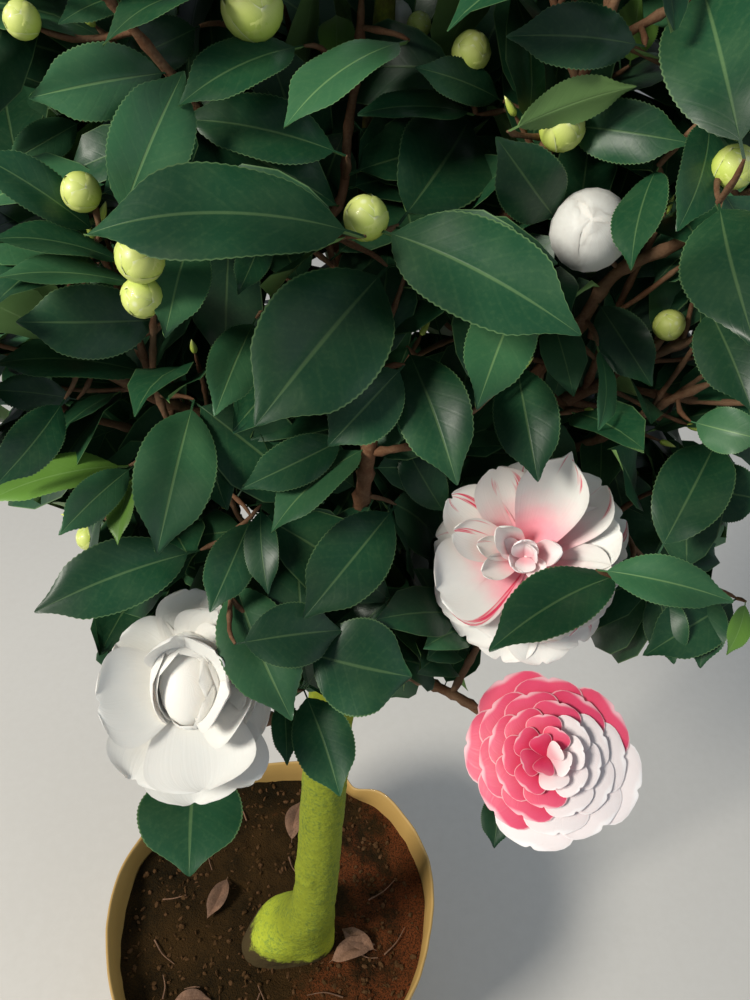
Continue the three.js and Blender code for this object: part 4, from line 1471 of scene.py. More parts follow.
@lru_cache(maxsize=None)
def petal_group():
    """Petal colour from foot to edge by the UV map, with fine veins, loose streaks and a pale rim."""
    inputs = {"Foot": WHITE, "Edge": WHITE, "Streak": WHITE, "Reach": 0.5, "Streaks": 0.0, "Rim": 0.0}
    tree, given = new_group("petal surface", inputs)
    uv = uv_place(tree)
    across, along, _ = parts(uv)
    place = object_place(tree)
    lines = cloud(stretched(uv, (34.0, 1.2, 1.0)), 1.0, 2.0)
    wobbly = along + (cloud(place, 60.0) - 0.5) * 0.3
    to_edge = span(wobbly, given["Reach"] - 0.3, given["Reach"] + 0.22)
    colour = mix(to_edge, given["Foot"], given["Edge"])
    spread = vector_math("ADD", stretched(uv, (6.0, 0.5, 1.0)), {1: stretched(place, (14.0, 14.0, 14.0))})
    streak = span(cloud(spread, 1.3, 1.5), 0.655, 0.71) * given["Streaks"]
    colour = mix(streak * span(lines, 0.3, 0.6), colour, given["Streak"])
    to_rim = along.math("MAXIMUM", (across - 0.5).math("ABSOLUTE") * 2.0)
    colour = mix(span(to_rim, 0.93, 0.99) * given["Rim"], colour, WHITE)
    return finish_group(colour, span(lines, 0.2, 0.8, 0.42, 0.6), lines)


@lru_cache(maxsize=None)
def algae_group():
    """A green coat that fades with height, in patches, over another colour. It leaves a foot bare up to an
    uneven, tilted line, and just above that line it is painted brighter, as a pool of sunlight on the foot."""
    inputs = {
        "Bare": WHITE, "Algae": WHITE, "Moss": WHITE, "Low": 0.0, "High": 1.0, "Cover": 0.5, "Stain": 0.0,
        "Foot": -1.0, "Foot Tilt": 0.0, "Thick": 1.0,
    }
    tree, given = new_group("algae coat", inputs)
    place = object_place(tree)
    across, _, z = parts(place)
    broad = cloud(place, 14.0, 5.0, 0.6)
    fine = cloud(place, 130.0, 4.0, 0.6)
    grain = cloud(place, 330.0, 2.0)
    streaky = cloud(stretched(place, (60.0, 60.0, 9.0)), 1.0)
    height = span(z, given["Low"], given["High"], 1.0, 0.0)
    amount = height * 0.6 + broad * 0.9 + (fine - 0.5) * 0.5 + (given["Cover"] - 0.5)
    mask = span(amount, 0.45, 0.95)
    stains = streaky * 0.3 + fine * 0.4 + grain * 0.5 + given["Stain"]
    coat = mix(span(stains, 0.6, 0.85), given["Algae"], given["Moss"])
    coat = mix(span(fine, 0.35, 0.7) * 0.25, coat, WHITE, "SOFT_LIGHT")
    uneven = z + (broad - 0.5) * 0.05 + (fine - 0.5) * 0.03 + across * given["Foot Tilt"]
    above = uneven - given["Foot"]
    # The coat just above the bare foot is painted brighter: a painted pool of sunlight.
    coat = vector_math("SCALE", coat, {"Scale": span(above, 0.03, 0.09, given["Thick"], 1.0)})
    colour = mix(mask * span(above, 0.0, 0.012), given["Bare"], coat)
    return finish_group(colour, span(mask, 0.0, 1.0, 0.55, 0.9), fine * 0.6 + mask * 0.25)


@lru_cache(maxsize=None)
def mottle_group():
    """Two colours mixed in broad patches and fine specks, with a third in patches that lean to one side."""
    inputs = {
        "First": WHITE, "Second": WHITE, "Third": WHITE, "Third Share": 0.0, "Third Lean": 0.0,
        "Patch Scale": 30.0, "Speck Scale": 300.0,
    }
    tree, given = new_group("mottled", inputs)
    place = object_place(tree)
    patches = cloud(place, given["Patch Scale"], 4.0)
    specks = cloud(place, given["Speck Scale"], 3.0, 0.65)
    colour = mix(span(patches * 0.6 + specks * 0.4, 0.36, 0.64), given["First"], given["Second"])
    # A Third Lean above 0 gathers the third colour towards +X; on the soil this is partly a painted pool of
    # sunlight.
    leaning = cloud(place, 12.0, 5.0, 0.65) + parts(place)[0] * given["Third Lean"]
    third = span(leaning, 0.6, 0.78) * given["Third Share"]
    colour = mix(third * span(specks, 0.3, 0.6), colour, given["Third"])
    return finish_group(colour, span(specks, 0.3, 0.7, 0.7, 0.95), specks)


def new_material(name, group, values, bump=0.4, distance=0.001, **shader_values):
    """A material whose colour, roughness and relief come from a group, placed with its own values."""
    material = bpy.data.materials.new(name)
    material.use_nodes = True
    tree = material.node_tree
    tree.nodes.clear()
    placed = put(tree, "ShaderNodeGroup", values, node_tree=group)
    height = {"Height": placed.signal("Height"), "Strength": bump, "Distance": distance}
    inputs = {
        "Base Color": placed.signal("Colour"), "Roughness": placed.signal("Roughness"),
        "Normal": put(tree, "ShaderNodeBump", height).signal(),
    }
    labels = {label.replace("_", " "): value for label, value in shader_values.items()}
    shader = put(tree, "ShaderNodeBsdfPrincipled", {**inputs, **labels})
    put(tree, "ShaderNodeOutputMaterial", {0: shader.signal()})
    return material


def leaf_material(name, colour, strength=0.6, gloss=0.5, coat=0.07):
    vein = tuple(lerp(a, b, 0.75) for a, b in zip(colour, colours().leaf_vein))
    values = {"Blade": tuple(colour), "Vein": vein, "Vein Strength": strength, "Gloss": gloss}
    shine = {"Coat_Weight": coat, "Coat_Roughness": 0.22, "Specular_IOR_Level": 0.2}
    return new_material(name, leaf_group(), values, 0.35, 0.0006, **shine)


@lru_cache(maxsize=None)
def leaf_materials():
    """The upper sides by tone, and the one underside."""
    tint = colours()
    return {
        "dark": leaf_material("leaf dark", tint.leaf_dark, 0.3),
        "mid": leaf_material("leaf lighter", tint.leaf_mid, 0.5),
        "young": leaf_material("leaf young", tint.leaf_young, 0.4, 0.3),
        "under": leaf_material("leaf underside", tint.leaf_under, 0.9, 0.0, 0.0),
    }


# Geometry Nodes.

def new_tree(name, inputs):
    """A geometry tree with named inputs: the tree, and its inputs as signals."""
    tree = bpy.data.node_groups.new(name, "GeometryNodeTree")
    tree.interface.new_socket("Geometry", in_out="INPUT", socket_type="NodeSocketGeometry")
    tree.interface.new_socket("Geometry", in_out="OUTPUT", socket_type="NodeSocketGeometry")
    for label, value in inputs.items():
        kind = "NodeSocketInt" if isinstance(value, int) else "NodeSocketFloat"
        tree.interface.new_socket(label, in_out="INPUT", socket_type=kind).default_value = value
    return tree, given_signals(tree)


def finish_tree(flow, finishes):
    """Ends a tree in real geometry, with a material for each selection."""
    tree = flow.tree
    flow = put(tree, "GeometryNodeRealizeInstances", {0: flow}).signal()
    for chosen, material in finishes:
        inputs = {"Geometry": flow, "Selection": chosen, "Material": material}
        flow = put(tree, "GeometryNodeSetMaterial", inputs).signal()
    put(tree, "NodeGroupOutput", {"Geometry": flow})
    return tree


def run_tree(piece, tree, name, **values):
    """Gives the tree its values by socket identifier, and makes its result the piece's plain mesh."""
    modifier = piece.modifiers.new(tree.name, "NODES")
    modifier.node_group = tree
    for item in tree.interface.items_tree:
        key = item.name.replace(" ", "_").lower()
        if item.in_out == "INPUT" and key in values:
            modifier[item.identifier] = values[key]
    evaluated = piece.evaluated_get(bpy.context.evaluated_depsgraph_get())
    mesh = bpy.data.meshes.new_from_object(evaluated)
    mesh.name = name
    bpy.data.objects.remove(piece)
    return mesh


def attribute(tree, name, kind):
    return put(tree, "GeometryNodeInputNamedAttribute", {0: name}, data_type=kind).signal()


def compare(tree, inputs, operation, kind="FLOAT"):
    return put(tree, "FunctionNodeCompare", inputs, data_type=kind, operation=operation).signal()


def facing_rotation(tree, heading, face):
    axes = {"Primary Axis": heading, "Secondary Axis": face}
    return put(tree, "FunctionNodeAxesToRotation", axes, primary_axis="X", secondary_axis="Z").signal()


def object_shape(tree, shape):
    return put(tree, "GeometryNodeObjectInfo", {"Object": shape}).signal("Geometry")


def scatter_tree(name, templates, finishes):
    """Puts a template on each point, turned to the point's heading and face, and sized by its size.

    finishes gives a material for each value of the templates' "side" attribute.
    """
    tree, given = new_tree(name, {"Size": 1.0})
    join = put(tree, "GeometryNodeGeometryToInstance")
    for shape in reversed(templates):
        tree.links.new(object_shape(tree, shape).socket, join.node.inputs[0])
    turn = facing_rotation(
        tree, attribute(tree, "heading", "FLOAT_VECTOR"), attribute(tree, "face", "FLOAT_VECTOR"),
    )
    scale = vector_math("SCALE", attribute(tree, "size", "FLOAT_VECTOR"), {"Scale": given["Size"]})
    placing = {
        "Points": given["Geometry"], "Instance": join.signal(), "Pick Instance": True,
        "Instance Index": attribute(tree, "shape", "INT"), "Rotation": turn, "Scale": scale,
    }
    flow = put(tree, "GeometryNodeInstanceOnPoints", placing).signal()
    sides = [
        (compare(tree, {2: attribute(tree, "side", "INT"), 3: side}, "EQUAL", "INT"), material)
        for side, material in enumerate(finishes)
    ]
    return finish_tree(flow, sides)


def template(name, points, faces, places, sides):
    """A shape for the scatter tree, with the side that each face shows."""
    heap = Heap()
    heap.add(points, faces, places)
    mesh = heap.mesh(name, [])
    layer = mesh.attributes.new("side", "INT", "FACE")
    layer.data.foreach_set("value", np.array(sides, np.int32))
    return bpy.data.objects.new(name, mesh)


def scatter(name, rows, tree, **values):
    """The mesh that the scatter tree makes of rows of (place, heading, face, size, shape)."""
    cloud_mesh = bpy.data.meshes.new(name)
    cloud_mesh.from_pydata([row[0] for row in rows], [], [])
    for label, column in (("heading", 1), ("face", 2), ("size", 3)):
        layer = cloud_mesh.attributes.new(label, "FLOAT_VECTOR", "POINT")
        layer.data.foreach_set("vector", np.array([tuple(row[column]) for row in rows], np.float32).ravel())
    layer = cloud_mesh.attributes.new("shape", "INT", "POINT")
    layer.data.foreach_set("value", np.array([row[4] for row in rows], np.int32))
    return run_tree(new_object(name, cloud_mesh), tree, name, **values)


def limb_tree(material):
    """Sweeps a round section along each limb, at the radius of its points."""
    tree, given = new_tree("limbs", {"Sides": 7})
    circle = put(tree, "GeometryNodeCurvePrimitiveCircle", {"Resolution": given["Sides"], "Radius": 1.0})
    sweep = {
        "Curve": given["Geometry"], "Profile Curve": circle.signal(),
        "Scale": put(tree, "GeometryNodeInputRadius").signal(), "Fill Caps": True,
    }
    return finish_tree(put(tree, "GeometryNodeCurveToMesh", sweep).signal(), [(True, material)])


# The pot and its soil.

def soft_wall(x, y, z):
    """The soft wall's bends: the pot is a little out of round, more so towards its rim."""
    turn = math.atan2(y, x)
    wave = 0.6 * math.sin(2 * turn + 0.9) + 0.3 * math.sin(3 * turn - 0.5) + 0.12 * math.sin(7 * turn)
    stretch = 1 + POT.softness * wave * max(0, z / POT_HEIGHT)
    return x * stretch, y * stretch


def wall_radius(z):
    share = max(0, z / POT_HEIGHT) ** POT.belly
    return POT.foot_radius + (POT.rim_radius - POT.band_proud - POT.foot_radius) * share


def turned(profile, sides, relief):
    """A closed skin turned about the upright axis: profile points from the underside up and in again."""
    rings = []
    for radius, z in profile[1:-1]:
        ring = []
        for turn in turns_of(sides):
            x, y = soft_wall(radius * math.cos(turn), radius * math.sin(turn), z)
            ring.append(Vector((x, y, z)) + relief(turn, radius, z))
        rings.append(ring)
    return skin(Vector((0, 0, profile[0][1])), rings, Vector((0, 0, profile[-1][1])))


def pot_profile(wall):
    """The pot's half section, from the underside's middle up its outside, over the lip and down inside."""
    band = POT_HEIGHT - POT.band_height
    proud = wall_radius(band) + POT.band_proud
    band_foot = band + 0.0025
    band_top = POT_HEIGHT - 0.0025
    rim = POT.rim_radius
    foot = [(0, 0), (POT.foot_radius - POT.foot_chamfer, 0), (POT.foot_radius - 0.002, 0.002)]
    outside = [(wall_radius(z), z) for z in (lerp(POT.foot_chamfer, band, share) for share in even_rows(26))]
    ledge = [(wall_radius(band) + POT.band_proud * 0.7, band + 0.0008), (proud, band_foot)]
    band_side = [(lerp(proud, rim, share), lerp(band_foot, band_top, share)) for share in even_rows(5)[1:]]
    lip = [
        (rim - 0.0006, POT_HEIGHT - 0.0008), (rim - 0.0018, POT_HEIGHT),
        (rim - 0.0032, POT_HEIGHT - 0.0006), (rim - 0.0042, POT_HEIGHT - 0.003),
    ]
    below = [lerp(band, SOIL_LEVEL - SOIL_DEPTH, share) for share in even_rows(5)[1:]]
    inside = [(wall_radius(z) - wall - 0.0015, z) for z in (POT_HEIGHT - 0.012, band, *below, 0.15)]
    floor = [(wall_radius(0.01) - 0.01, POT.floor), (0, POT.floor)]
    return foot + outside + ledge + band_side + lip + inside + floor


SOIL_DEPTH = 0.03
FLAP = Values(turn=math.radians(60), width=0.15, depth=0.022, crease=0.006)


def pot_relief(turn, radius, z):
    """Folds and sags of the soft wall, and the kink where the rim has folded over at the back."""
    out = Vector((math.cos(turn), math.sin(turn), 0))
    share = smooth_step(z, 0.0, POT_HEIGHT)
    around = out * 2.2
    fold = noise.noise(around + Vector((0, 0, z * 7))) * 0.0035 * share
    fold += noise.noise(around * 4 + Vector((0, 0, z * 22))) * 0.0012 * share
    off = math.atan2(math.sin(turn - FLAP.turn), math.cos(turn - FLAP.turn)) / FLAP.width
    near = math.exp(-off * off)
    kink = near * smooth_step(z, POT_HEIGHT - 0.06, POT_HEIGHT)
    crease = math.sin(off * 2.4) * near * smooth_step(z, POT_HEIGHT - 0.05, POT_HEIGHT)
    lower = -0.006 * kink + 0.0012 * noise.noise(around * 3) * smooth_step(z, POT_HEIGHT - 0.01, POT_HEIGHT)
    return out * (fold - FLAP.depth * kink * 0.6 + FLAP.crease * crease) + UP * min(0, lower)


class CAMELLIA_OT_pot(bpy.types.Operator):
    """Makes the soft nursery pot with its band, folds and stains"""

    bl_idname = "camellia.pot"
    bl_label = "Pot"

    def execute(self, context):
        tint = colours()
        stained = {
            "Bare": tuple(tint.plastic), "Algae": (0.26, 0.23, 0.04, 1), "Moss": tuple(tint.moss),
            "Low": -0.25, "High": 0.36, "Cover": 0.3, "Stain": 0.05,
        }
        material = new_material("stained plastic", algae_group(), stained, 0.3, 0.0012, Coat_Weight=0.1)
        heap = Heap()
        heap.add(*turned(pot_profile(sizes().pot_wall), 220, pot_relief))
        keep(heap.piece("pot_wall", [material]), "pot", "pot")
        return {"FINISHED"}


def soil_height(x, y):
    """The soil's lumps and dips, level where the trunk stands."""
    foot = trunk_axis(0)
    away = math.hypot(x - foot.x, y - foot.y)
    lumps = sizes().soil_lumps
    place = Vector((x, y, 0))
    height = lumps * 0.9 * math.sin(x / 0.021 + 1) * math.cos(y / 0.021) * smooth_step(away, 0.062, 0.105)
    height += lumps * 1.1 * noise.fractal(place * 28, 1, 2, 3)
    height += lumps * 0.55 * abs(noise.noise(place * 110)) + lumps * 0.2 * noise.noise(place * 300)
    return height * smooth_step(away, 0.03, 0.075)


class CAMELLIA_OT_soil(bpy.types.Operator):
    """Fills the pot with lumpy soil, crumbs and a few dry leaves"""

    bl_idname = "camellia.soil"
    bl_label = "Soil"

    def execute(self, context):
        tint = colours()
        warm = (0.045, 0.023, 0.006, 1)
        # Red patches that gather towards +X: partly the soil's own red patches, partly a painted pool of
        # sunlight on the lit right side.
        red = (0.17, 0.045, 0.013, 1)
        # First: the dark soil colour, darker than damp soil alone, as painted shade from the crown.
        values = {
            "First": tuple(tint.soil), "Second": warm, "Third": red, "Third Share": 0.85, "Third Lean": 1.9,
            "Patch Scale": 13.0, "Speck Scale": 500.0,
        }
        material = new_material("damp soil", mottle_group(), values, 1.0, 0.004, Specular_IOR_Level=0.1)
        edge = wall_radius(SOIL_LEVEL) - sizes().pot_wall - 0.002
        rings = 64
        under = SOIL_LEVEL - SOIL_DEPTH
        profile = [(0, under), (edge - 0.003, under), (edge - 0.001, SOIL_LEVEL - 0.015)]
        profile += [(edge * (1 - step / rings), SOIL_LEVEL) for step in range(rings)]
        profile.append((0, SOIL_LEVEL))

        def relief(turn, radius, z):
            if z < SOIL_LEVEL:
                return Vector((0, 0, 0))
            return UP * (soil_height(radius * math.cos(turn), radius * math.sin(turn)) - 0.001)

        heap = Heap()
        heap.add(*turned(profile, 200, relief))
        ground = heap.piece("soil_fill", [material])
        keep(ground, "soil", "soil")
        clods = {"First": warm, "Second": (0.1, 0.05, 0.022, 1), "Patch Scale": 90.0, "Speck Scale": 900.0}
        clod = new_material("dry clods", mottle_group(), clods, 0.6, 0.001, Specular_IOR_Level=0.1)
        keep(self.crumbs(ground, clod, edge), "soil")
        keep(self.dry_leaves(), "foliage")
        return {"FINISHED"}

    def crumbs(self, ground, material, edge):
        """Small clods over the soil, by Geometry Nodes with a fixed seed."""
        tree, given = new_tree("crumbs", {"Density": 5500.0, "Seed": 5, "Largest": 0.005})
        flat = vector_math("MULTIPLY", put(tree, "GeometryNodeInputPosition").signal(), {1: (1, 1, 0)})
        away = vector_math("LENGTH", flat, output="Value")
        upward = parts(put(tree, "GeometryNodeInputNormal").signal())[2]
        chosen = put(tree, "FunctionNodeBooleanMath", {
            0: compare(tree, {0: away, 1: edge - 0.006}, "LESS_THAN"),
            1: compare(tree, {0: upward, 1: 0.3}, "GREATER_THAN"),
        }, operation="AND").signal()
        spread = {
            "Mesh": given["Geometry"], "Selection": chosen, "Density": given["Density"],
            "Seed": given["Seed"],
        }
        squash = {"Min": (0.15, 0.15, 0.15), "Max": (1.0, 1.0, 0.75), "Seed": 1}
        size = put(tree, "FunctionNodeRandomValue", squash, data_type="FLOAT_VECTOR").signal()
        turns = {"Max": (TUMBLE, TUMBLE, TUMBLE), "Seed": 2}
        turn = put(tree, "FunctionNodeRandomValue", turns, data_type="FLOAT_VECTOR").signal()
        placing = {
            "Points": put(tree, "GeometryNodeDistributePointsOnFaces", spread).signal(),
            "Instance": put(tree, "GeometryNodeMeshIcoSphere", {"Radius": 1.0, "Subdivisions": 1}).signal(),
            "Rotation": put(tree, "FunctionNodeEulerToRotation", {0: turn}).signal(),
            "Scale": vector_math("SCALE", size, {"Scale": given["Largest"]}),
        }
        finish_tree(put(tree, "GeometryNodeInstanceOnPoints", placing).signal(), [(True, material)])
        base = new_object("crumb_ground", ground.data)
        return new_object("soil_crumbs", run_tree(base, tree, "soil_crumbs"))

    def dry_leaves(self):
        """Fallen leaves, curled and brown, and thin straws."""
        dry = colours().dry_leaf
        darker = tuple(part * 0.5 for part in dry[:3]) + (1,)
        values = {"First": tuple(dry), "Second": darker, "Patch Scale": 60.0, "Speck Scale": 500.0}
        material = new_material("dry leaf", mottle_group(), values, 0.5, 0.0008)
        heap = Heap()
        for x, y, degrees, length in FALLEN:
            bend = LeafBend(0.1, 0.0, 0.9, 0.05, x * 30)
            turn = math.radians(degrees)
            heading = Vector((math.cos(turn), math.sin(turn), 0))
            start = Vector((x, y, 0)) - heading * length / 2
            below = [start + heading * (length * share) for share in (0, 0.25, 0.5, 0.75, 1)]
            ground = max(soil_height(spot.x, spot.y) for spot in below)
            start.z = SOIL_LEVEL + ground + 0.0015
            sheet = shell(leaf_place(length, length * 0.42, bend), even_rows(14), 6, leaf_thickness(length))
            heap.add(*sheet[:3], 0, frame_matrix(start, heading, UP))
        chance = seeded(STRAWS.seed)
        for _ in range(STRAWS.count):
            turn, away, way = TUMBLE * chance(), STRAWS.reach * math.sqrt(chance()), TUMBLE * chance()
            middle = Vector((away * math.cos(turn), away * math.sin(turn), 0))
            half = Vector((math.cos(way), math.sin(way), 0)) * lerp(*STRAWS.half_lengths, chance())
            if (middle - trunk_axis(0)).xy.length < STRAWS.clear:
                continue
            knots = [middle - half, middle + half.cross(UP) * 0.15, middle + half]
            for knot in knots:
                knot.z = SOIL_LEVEL + soil_height(knot.x, knot.y) + 2 * STRAWS.radius
            path = smooth_path(knots, PATH_STEP)
            heap.add(*tube(path, lambda share: STRAWS.radius * (1.1 - 0.6 * share), 6))
        return heap.piece("dry_leaves", [material])


# Fallen leaves: where each lies, its turn in degrees and its length. The first two are in the photograph.
FALLEN = [
    (0.1, -0.045, 20, 0.06), (0.108, -0.03, 150, 0.05), (-0.075, 0.02, 250, 0.055), (0.02, 0.12, 80, 0.06),
    (-0.09, -0.1, 10, 0.05),
]

# The most that a clod or straw is turned by, a little over a full turn.
TUMBLE = 6.3
STRAWS = Values(seed=61, count=26, reach=0.165, half_lengths=(0.008, 0.024), radius=0.0009, clear=0.075)


# Trunk, boughs and twigs.

Scar = namedtuple("Scar", "height turn radius depth")
TRUNK_SUNK = 0.004
SCARS = [Scar(0.21, 2.4, 0.012, 0.0022), Scar(0.33, 5.3, 0.009, 0.0018), Scar(0.46, 0.9, 0.011, 0.002)]


def bark_relief(place, strength):
    """Low lumps and fine wrinkles that run round a limb."""
    lumps = noise.noise(place * 42) + 0.5 * noise.noise(place * 95)
    wrinkles = noise.noise(Vector((place.x * 60, place.y * 60, place.z * 240)))
    return strength * (0.75 * lumps + 0.3 * wrinkles)


class CAMELLIA_OT_trunk(bpy.types.Operator):
    """Makes the leaning trunk with its swollen foot and the bark's relief"""

    bl_idname = "camellia.trunk"
    bl_label = "Trunk"

    def execute(self, context):
        tint = colours()
        damp = (0.06, 0.042, 0.016, 1)
        # The algae just above the bare foot is painted up to 1.9 times brighter, as a pool of sunlight.
        values = {
            "Bare": damp, "Algae": tuple(tint.algae), "Moss": tuple(tint.moss), "Low": 0.5, "High": 1.15,
            "Cover": 0.76, "Stain": 0.06, "Foot": SOIL_LEVEL + 0.02, "Foot Tilt": 0.35, "Thick": 1.9,
        }
        material = new_material("mossy bark", algae_group(), values, 1.0, 0.003, Specular_IOR_Level=0.2)
        whole = TRUNK_TOP - SOIL_LEVEL
        steps = 260
        heights = [-TRUNK_SUNK, *[whole * share ** 1.2 for share in even_rows(steps)]]
        rings = [self.ring(height) for height in heights]
        heap = Heap()
        heap.add(*skin(lean_line(SOIL_LEVEL - TRUNK_SUNK), rings, trunk_axis(whole) + UP * 0.001))
        keep(heap.piece("trunk_bark", [material]), "mossy_bark", "trunk")
        return {"FINISHED"}

    def ring(self, height):
        """The trunk's corners at a height above the soil, with its lobes, lumps and scars."""
        above = max(0, height)
        centre = trunk_axis(above)
        centre.z = SOIL_LEVEL + height
        thin = min(1, trunk_radius(height) / TRUNK.radius)
        corners = []
        for turn in turns_of(72):
            lobes = 1 + TRUNK.lobes * swell(above) * math.sin(3 * turn + 0.6)
            way = Vector((math.cos(turn), -math.sin(turn), 0))
            radius = trunk_radius(height) * lobes
            radius += bark_relief(centre + way * radius, sizes().bark_relief * thin)
            for scar in SCARS:
                gap = math.hypot((height - scar.height), radius * math.sin((turn - scar.turn) / 2) * 2)
                near = gap / scar.radius
                radius += scar.depth * (math.exp(-(near - 1) ** 2 * 8) - 0.4 * math.exp(-near * near * 3))
            depth = radius * (1 - TRUNK.swell_flat * swell(above))
            corners.append(centre + Vector((way.x * radius, way.y * depth, 0)))
        return corners[::-1]


# How much thicker a bough is where it leaves the trunk, and the share of its length that thickens.
COLLAR = Values(swell=0.35, reach=0.16)


class CAMELLIA_OT_boughs(bpy.types.Operator):
    """Makes the boughs with the bark's relief, from the trunk to their masses"""

    bl_idname = "camellia.boughs"
    bl_label = "Boughs"

    def execute(self, context):
        tint = colours()
        values = {
            "Bare": tuple(tint.bark), "Algae": tuple(tint.algae), "Moss": tuple(tint.moss), "Low": 0.75,
            "High": 0.95, "Cover": 0.25,
        }
        material = new_material("bough bark", algae_group(), values, 0.6, 0.0014, Specular_IOR_Level=0.25)
        heap = Heap()
        for bough in plant().boughs:
            path = smooth_path(bough.points, PATH_STEP)

            def radius_at(share, bough=bough):
                collar = COLLAR.swell * math.exp(-((share / COLLAR.reach) ** 2))
                return bough.radius_at(share) * (1 + collar)

            def relief(place):
                return bark_relief(place, sizes().bark_relief * 0.5)

            heap.add(*tube(path, radius_at, 18, relief))
        keep(heap.piece("bough_bark", [material]), "bark", *BOUGH_NODES)
        return {"FINISHED"}


class CAMELLIA_OT_twigs(bpy.types.Operator):
    """Makes the stems and twigs that carry the leaves, each swelling at its nodes"""

    bl_idname = "camellia.twigs"
    bl_label = "Twigs"

    def execute(self, context):
        worn = (0.17, 0.1, 0.055, 1)
        values = {"First": tuple(colours().bark), "Second": worn, "Patch Scale": 45.0, "Speck Scale": 600.0}
        material = new_material("twig bark", mottle_group(), values, 0.6, 0.0006, Specular_IOR_Level=0.25)
        curves = bpy.data.curves.new("twigs", "CURVE")
        curves.dimensions = "3D"
        grown = plant()
        limbs = [*(shoot for mass in grown.masses for shoot in mass.shoots), *grown.extra_limbs]
        for number, limb in enumerate(limbs):
            path = smooth_path(limb.points, 0.005)
            spline = curves.splines.new("POLY")
            spline.points.add(len(path) - 1)
            chance = seeded(SEEDS.twigs + number)
            for index, place in enumerate(path):
                share = index / (len(path) - 1)
                node_swell = 0.3 if index % 4 == 2 else 0.0
                spline.points[index].co = (*place, 1)
                end = 1 - 0.5 * smooth_step(share, 0.9, 1)
                uneven = 0.94 + 0.12 * chance() + node_swell
                spline.points[index].radius = limb.radius_at(share) * uneven * end
        mesh = run_tree(new_object("twigs_source", curves), limb_tree(material), "twigs", sides=7)
        piece = new_object("twigs", mesh)
        mesh.polygons.foreach_set("use_smooth", np.ones(len(mesh.polygons), bool))
        keep(piece, "bark")
        return {"FINISHED"}


# Leaves, buds and blooms.

RULE_ROWS = (0, 0.09, 0.18, 0.32, 0.5, 0.7, 0.88, 1)


class CAMELLIA_OT_leaves(bpy.types.Operator):
    """Hangs the leaves: those of the growth rule, and those that the photograph shows"""

    bl_idname = "camellia.leaves"
    bl_label = "Leaves"

    def execute(self, context):
        grown = plant()
        finishes = leaf_materials()
        templates = []
        for number, bend in enumerate(LEAF_BENDS):
            flatter = bend._replace(keel=bend.keel * 0.8)
            sheet = shell(leaf_place(1, 1, flatter), RULE_ROWS, 4, leaf_thickness(1))
            templates.append(template(f"leaf_shape_{number}", *sheet))
        for tone in ("dark", "mid", "young"):
            rows = []
            for blade in (blade for mass in grown.masses for blade in mass.blades if blade.tone == tone):
                size = Vector((blade.length, blade.width, blade.length))
                rows.append((blade.foot, blade.heading, blade.face, size, blade.shape))
            tree = scatter_tree(f"leaves {tone}", templates, [finishes[tone], finishes["under"]])
            piece = new_object(f"leaves_{tone}", scatter(f"leaves_{tone}", rows, tree, size=1.0))
            keep(piece, "foliage", *(FOLIAGE_NODES if tone == "dark" else ()))
        heap = Heap()
        order = ["dark", "mid", "young", "under"]
        for number, blade in enumerate(grown.shown_blades):
            chance = seeded(SEEDS.leaves + number)
            droop, keel = 0.08 + 0.1 * chance(), 0.16 + 0.16 * chance()
            bend = LeafBend(blade.arch, droop, keel, 0.05 * (chance() - 0.5), chance())
            place = leaf_place(blade.length, blade.width, bend, TOOTH_DEPTH)
            points, faces, places, sides = shell(
                place, even_rows(TOOTH_ROWS), 10, leaf_thickness(blade.length),
            )
            tone = "mid" if blade.tone == "under" else blade.tone
            slots = [3 if side else order.index(tone) for side in sides]
            matrix = frame_matrix(blade.foot, blade.heading, blade.face)
            heap.add(points, faces, places, slots, matrix)
        keep(heap.piece("leaves_front", [finishes[tone] for tone in order]), "foliage")
        return {"FINISHED"}


def bud_parts(white):
    """A closed round bud with its overlapping scales, of radius 1 along X: points, faces, places, sides."""
    heap = Heap()
    sides = []
    points, faces, places = ball(0.96, 1.06)
    heap.add(points, faces, places)
    sides += [1 if white else 0] * len(faces)
    tiers = [(3, -1.5, 0.7, 0.03, 1.5), (3, -1.5, 1.25, 0.012, 1.5)]
    if white:
        tiers = [(3, -1.5, -0.45, 0.03, 1.1), (3, -1.4, 1.52, 0.012, 1.5)]
    for number, (count, low, high, lift, spread) in enumerate(tiers):
        for index in range(count):
            sheet = shell(scale_place(1, spread, low, high, lift, 2.6), even_rows(8), 8, evenly(0.02))
            turn = Matrix.Rotation(2 * math.pi * (index + number / 2) / count + 0.3, 4, "X")
            heap.add(*sheet[:3], 0, turn)
            sides += [1 if white and number else 0] * len(sheet[1])
    return heap.points, heap.faces, heap.places, sides


LEAF_BUD = Values(length=0.012, radius=0.0021, rings=6, sides=6, fullness=2.4)


def leaf_bud_parts():
    """A small pointed bud of length 1 along X: points, faces, places, sides."""
    shares = even_rows(LEAF_BUD.rings)
    stations = [(share, math.sqrt(share) * (1 - share) * LEAF_BUD.fullness) for share in shares]
    points, faces, places = spindle(stations, LEAF_BUD.sides)
    return points, faces, places, [0] * len(faces)


def petal_material(name, foot, edge, reach, streaks=0.0, rim=0.0):
    values = {
        "Foot": tuple(foot), "Edge": tuple(edge), "Streak": tuple(colours().petal_rose), "Reach": reach,
        "Streaks": streaks, "Rim": rim,
    }
    glow = {"Subsurface_Weight": 0.3, "Subsurface_Scale": 0.008, "Subsurface_Radius": (0.7, 0.55, 0.5)}
    return new_material(name, petal_group(), values, 0.25, 0.0005, **glow)


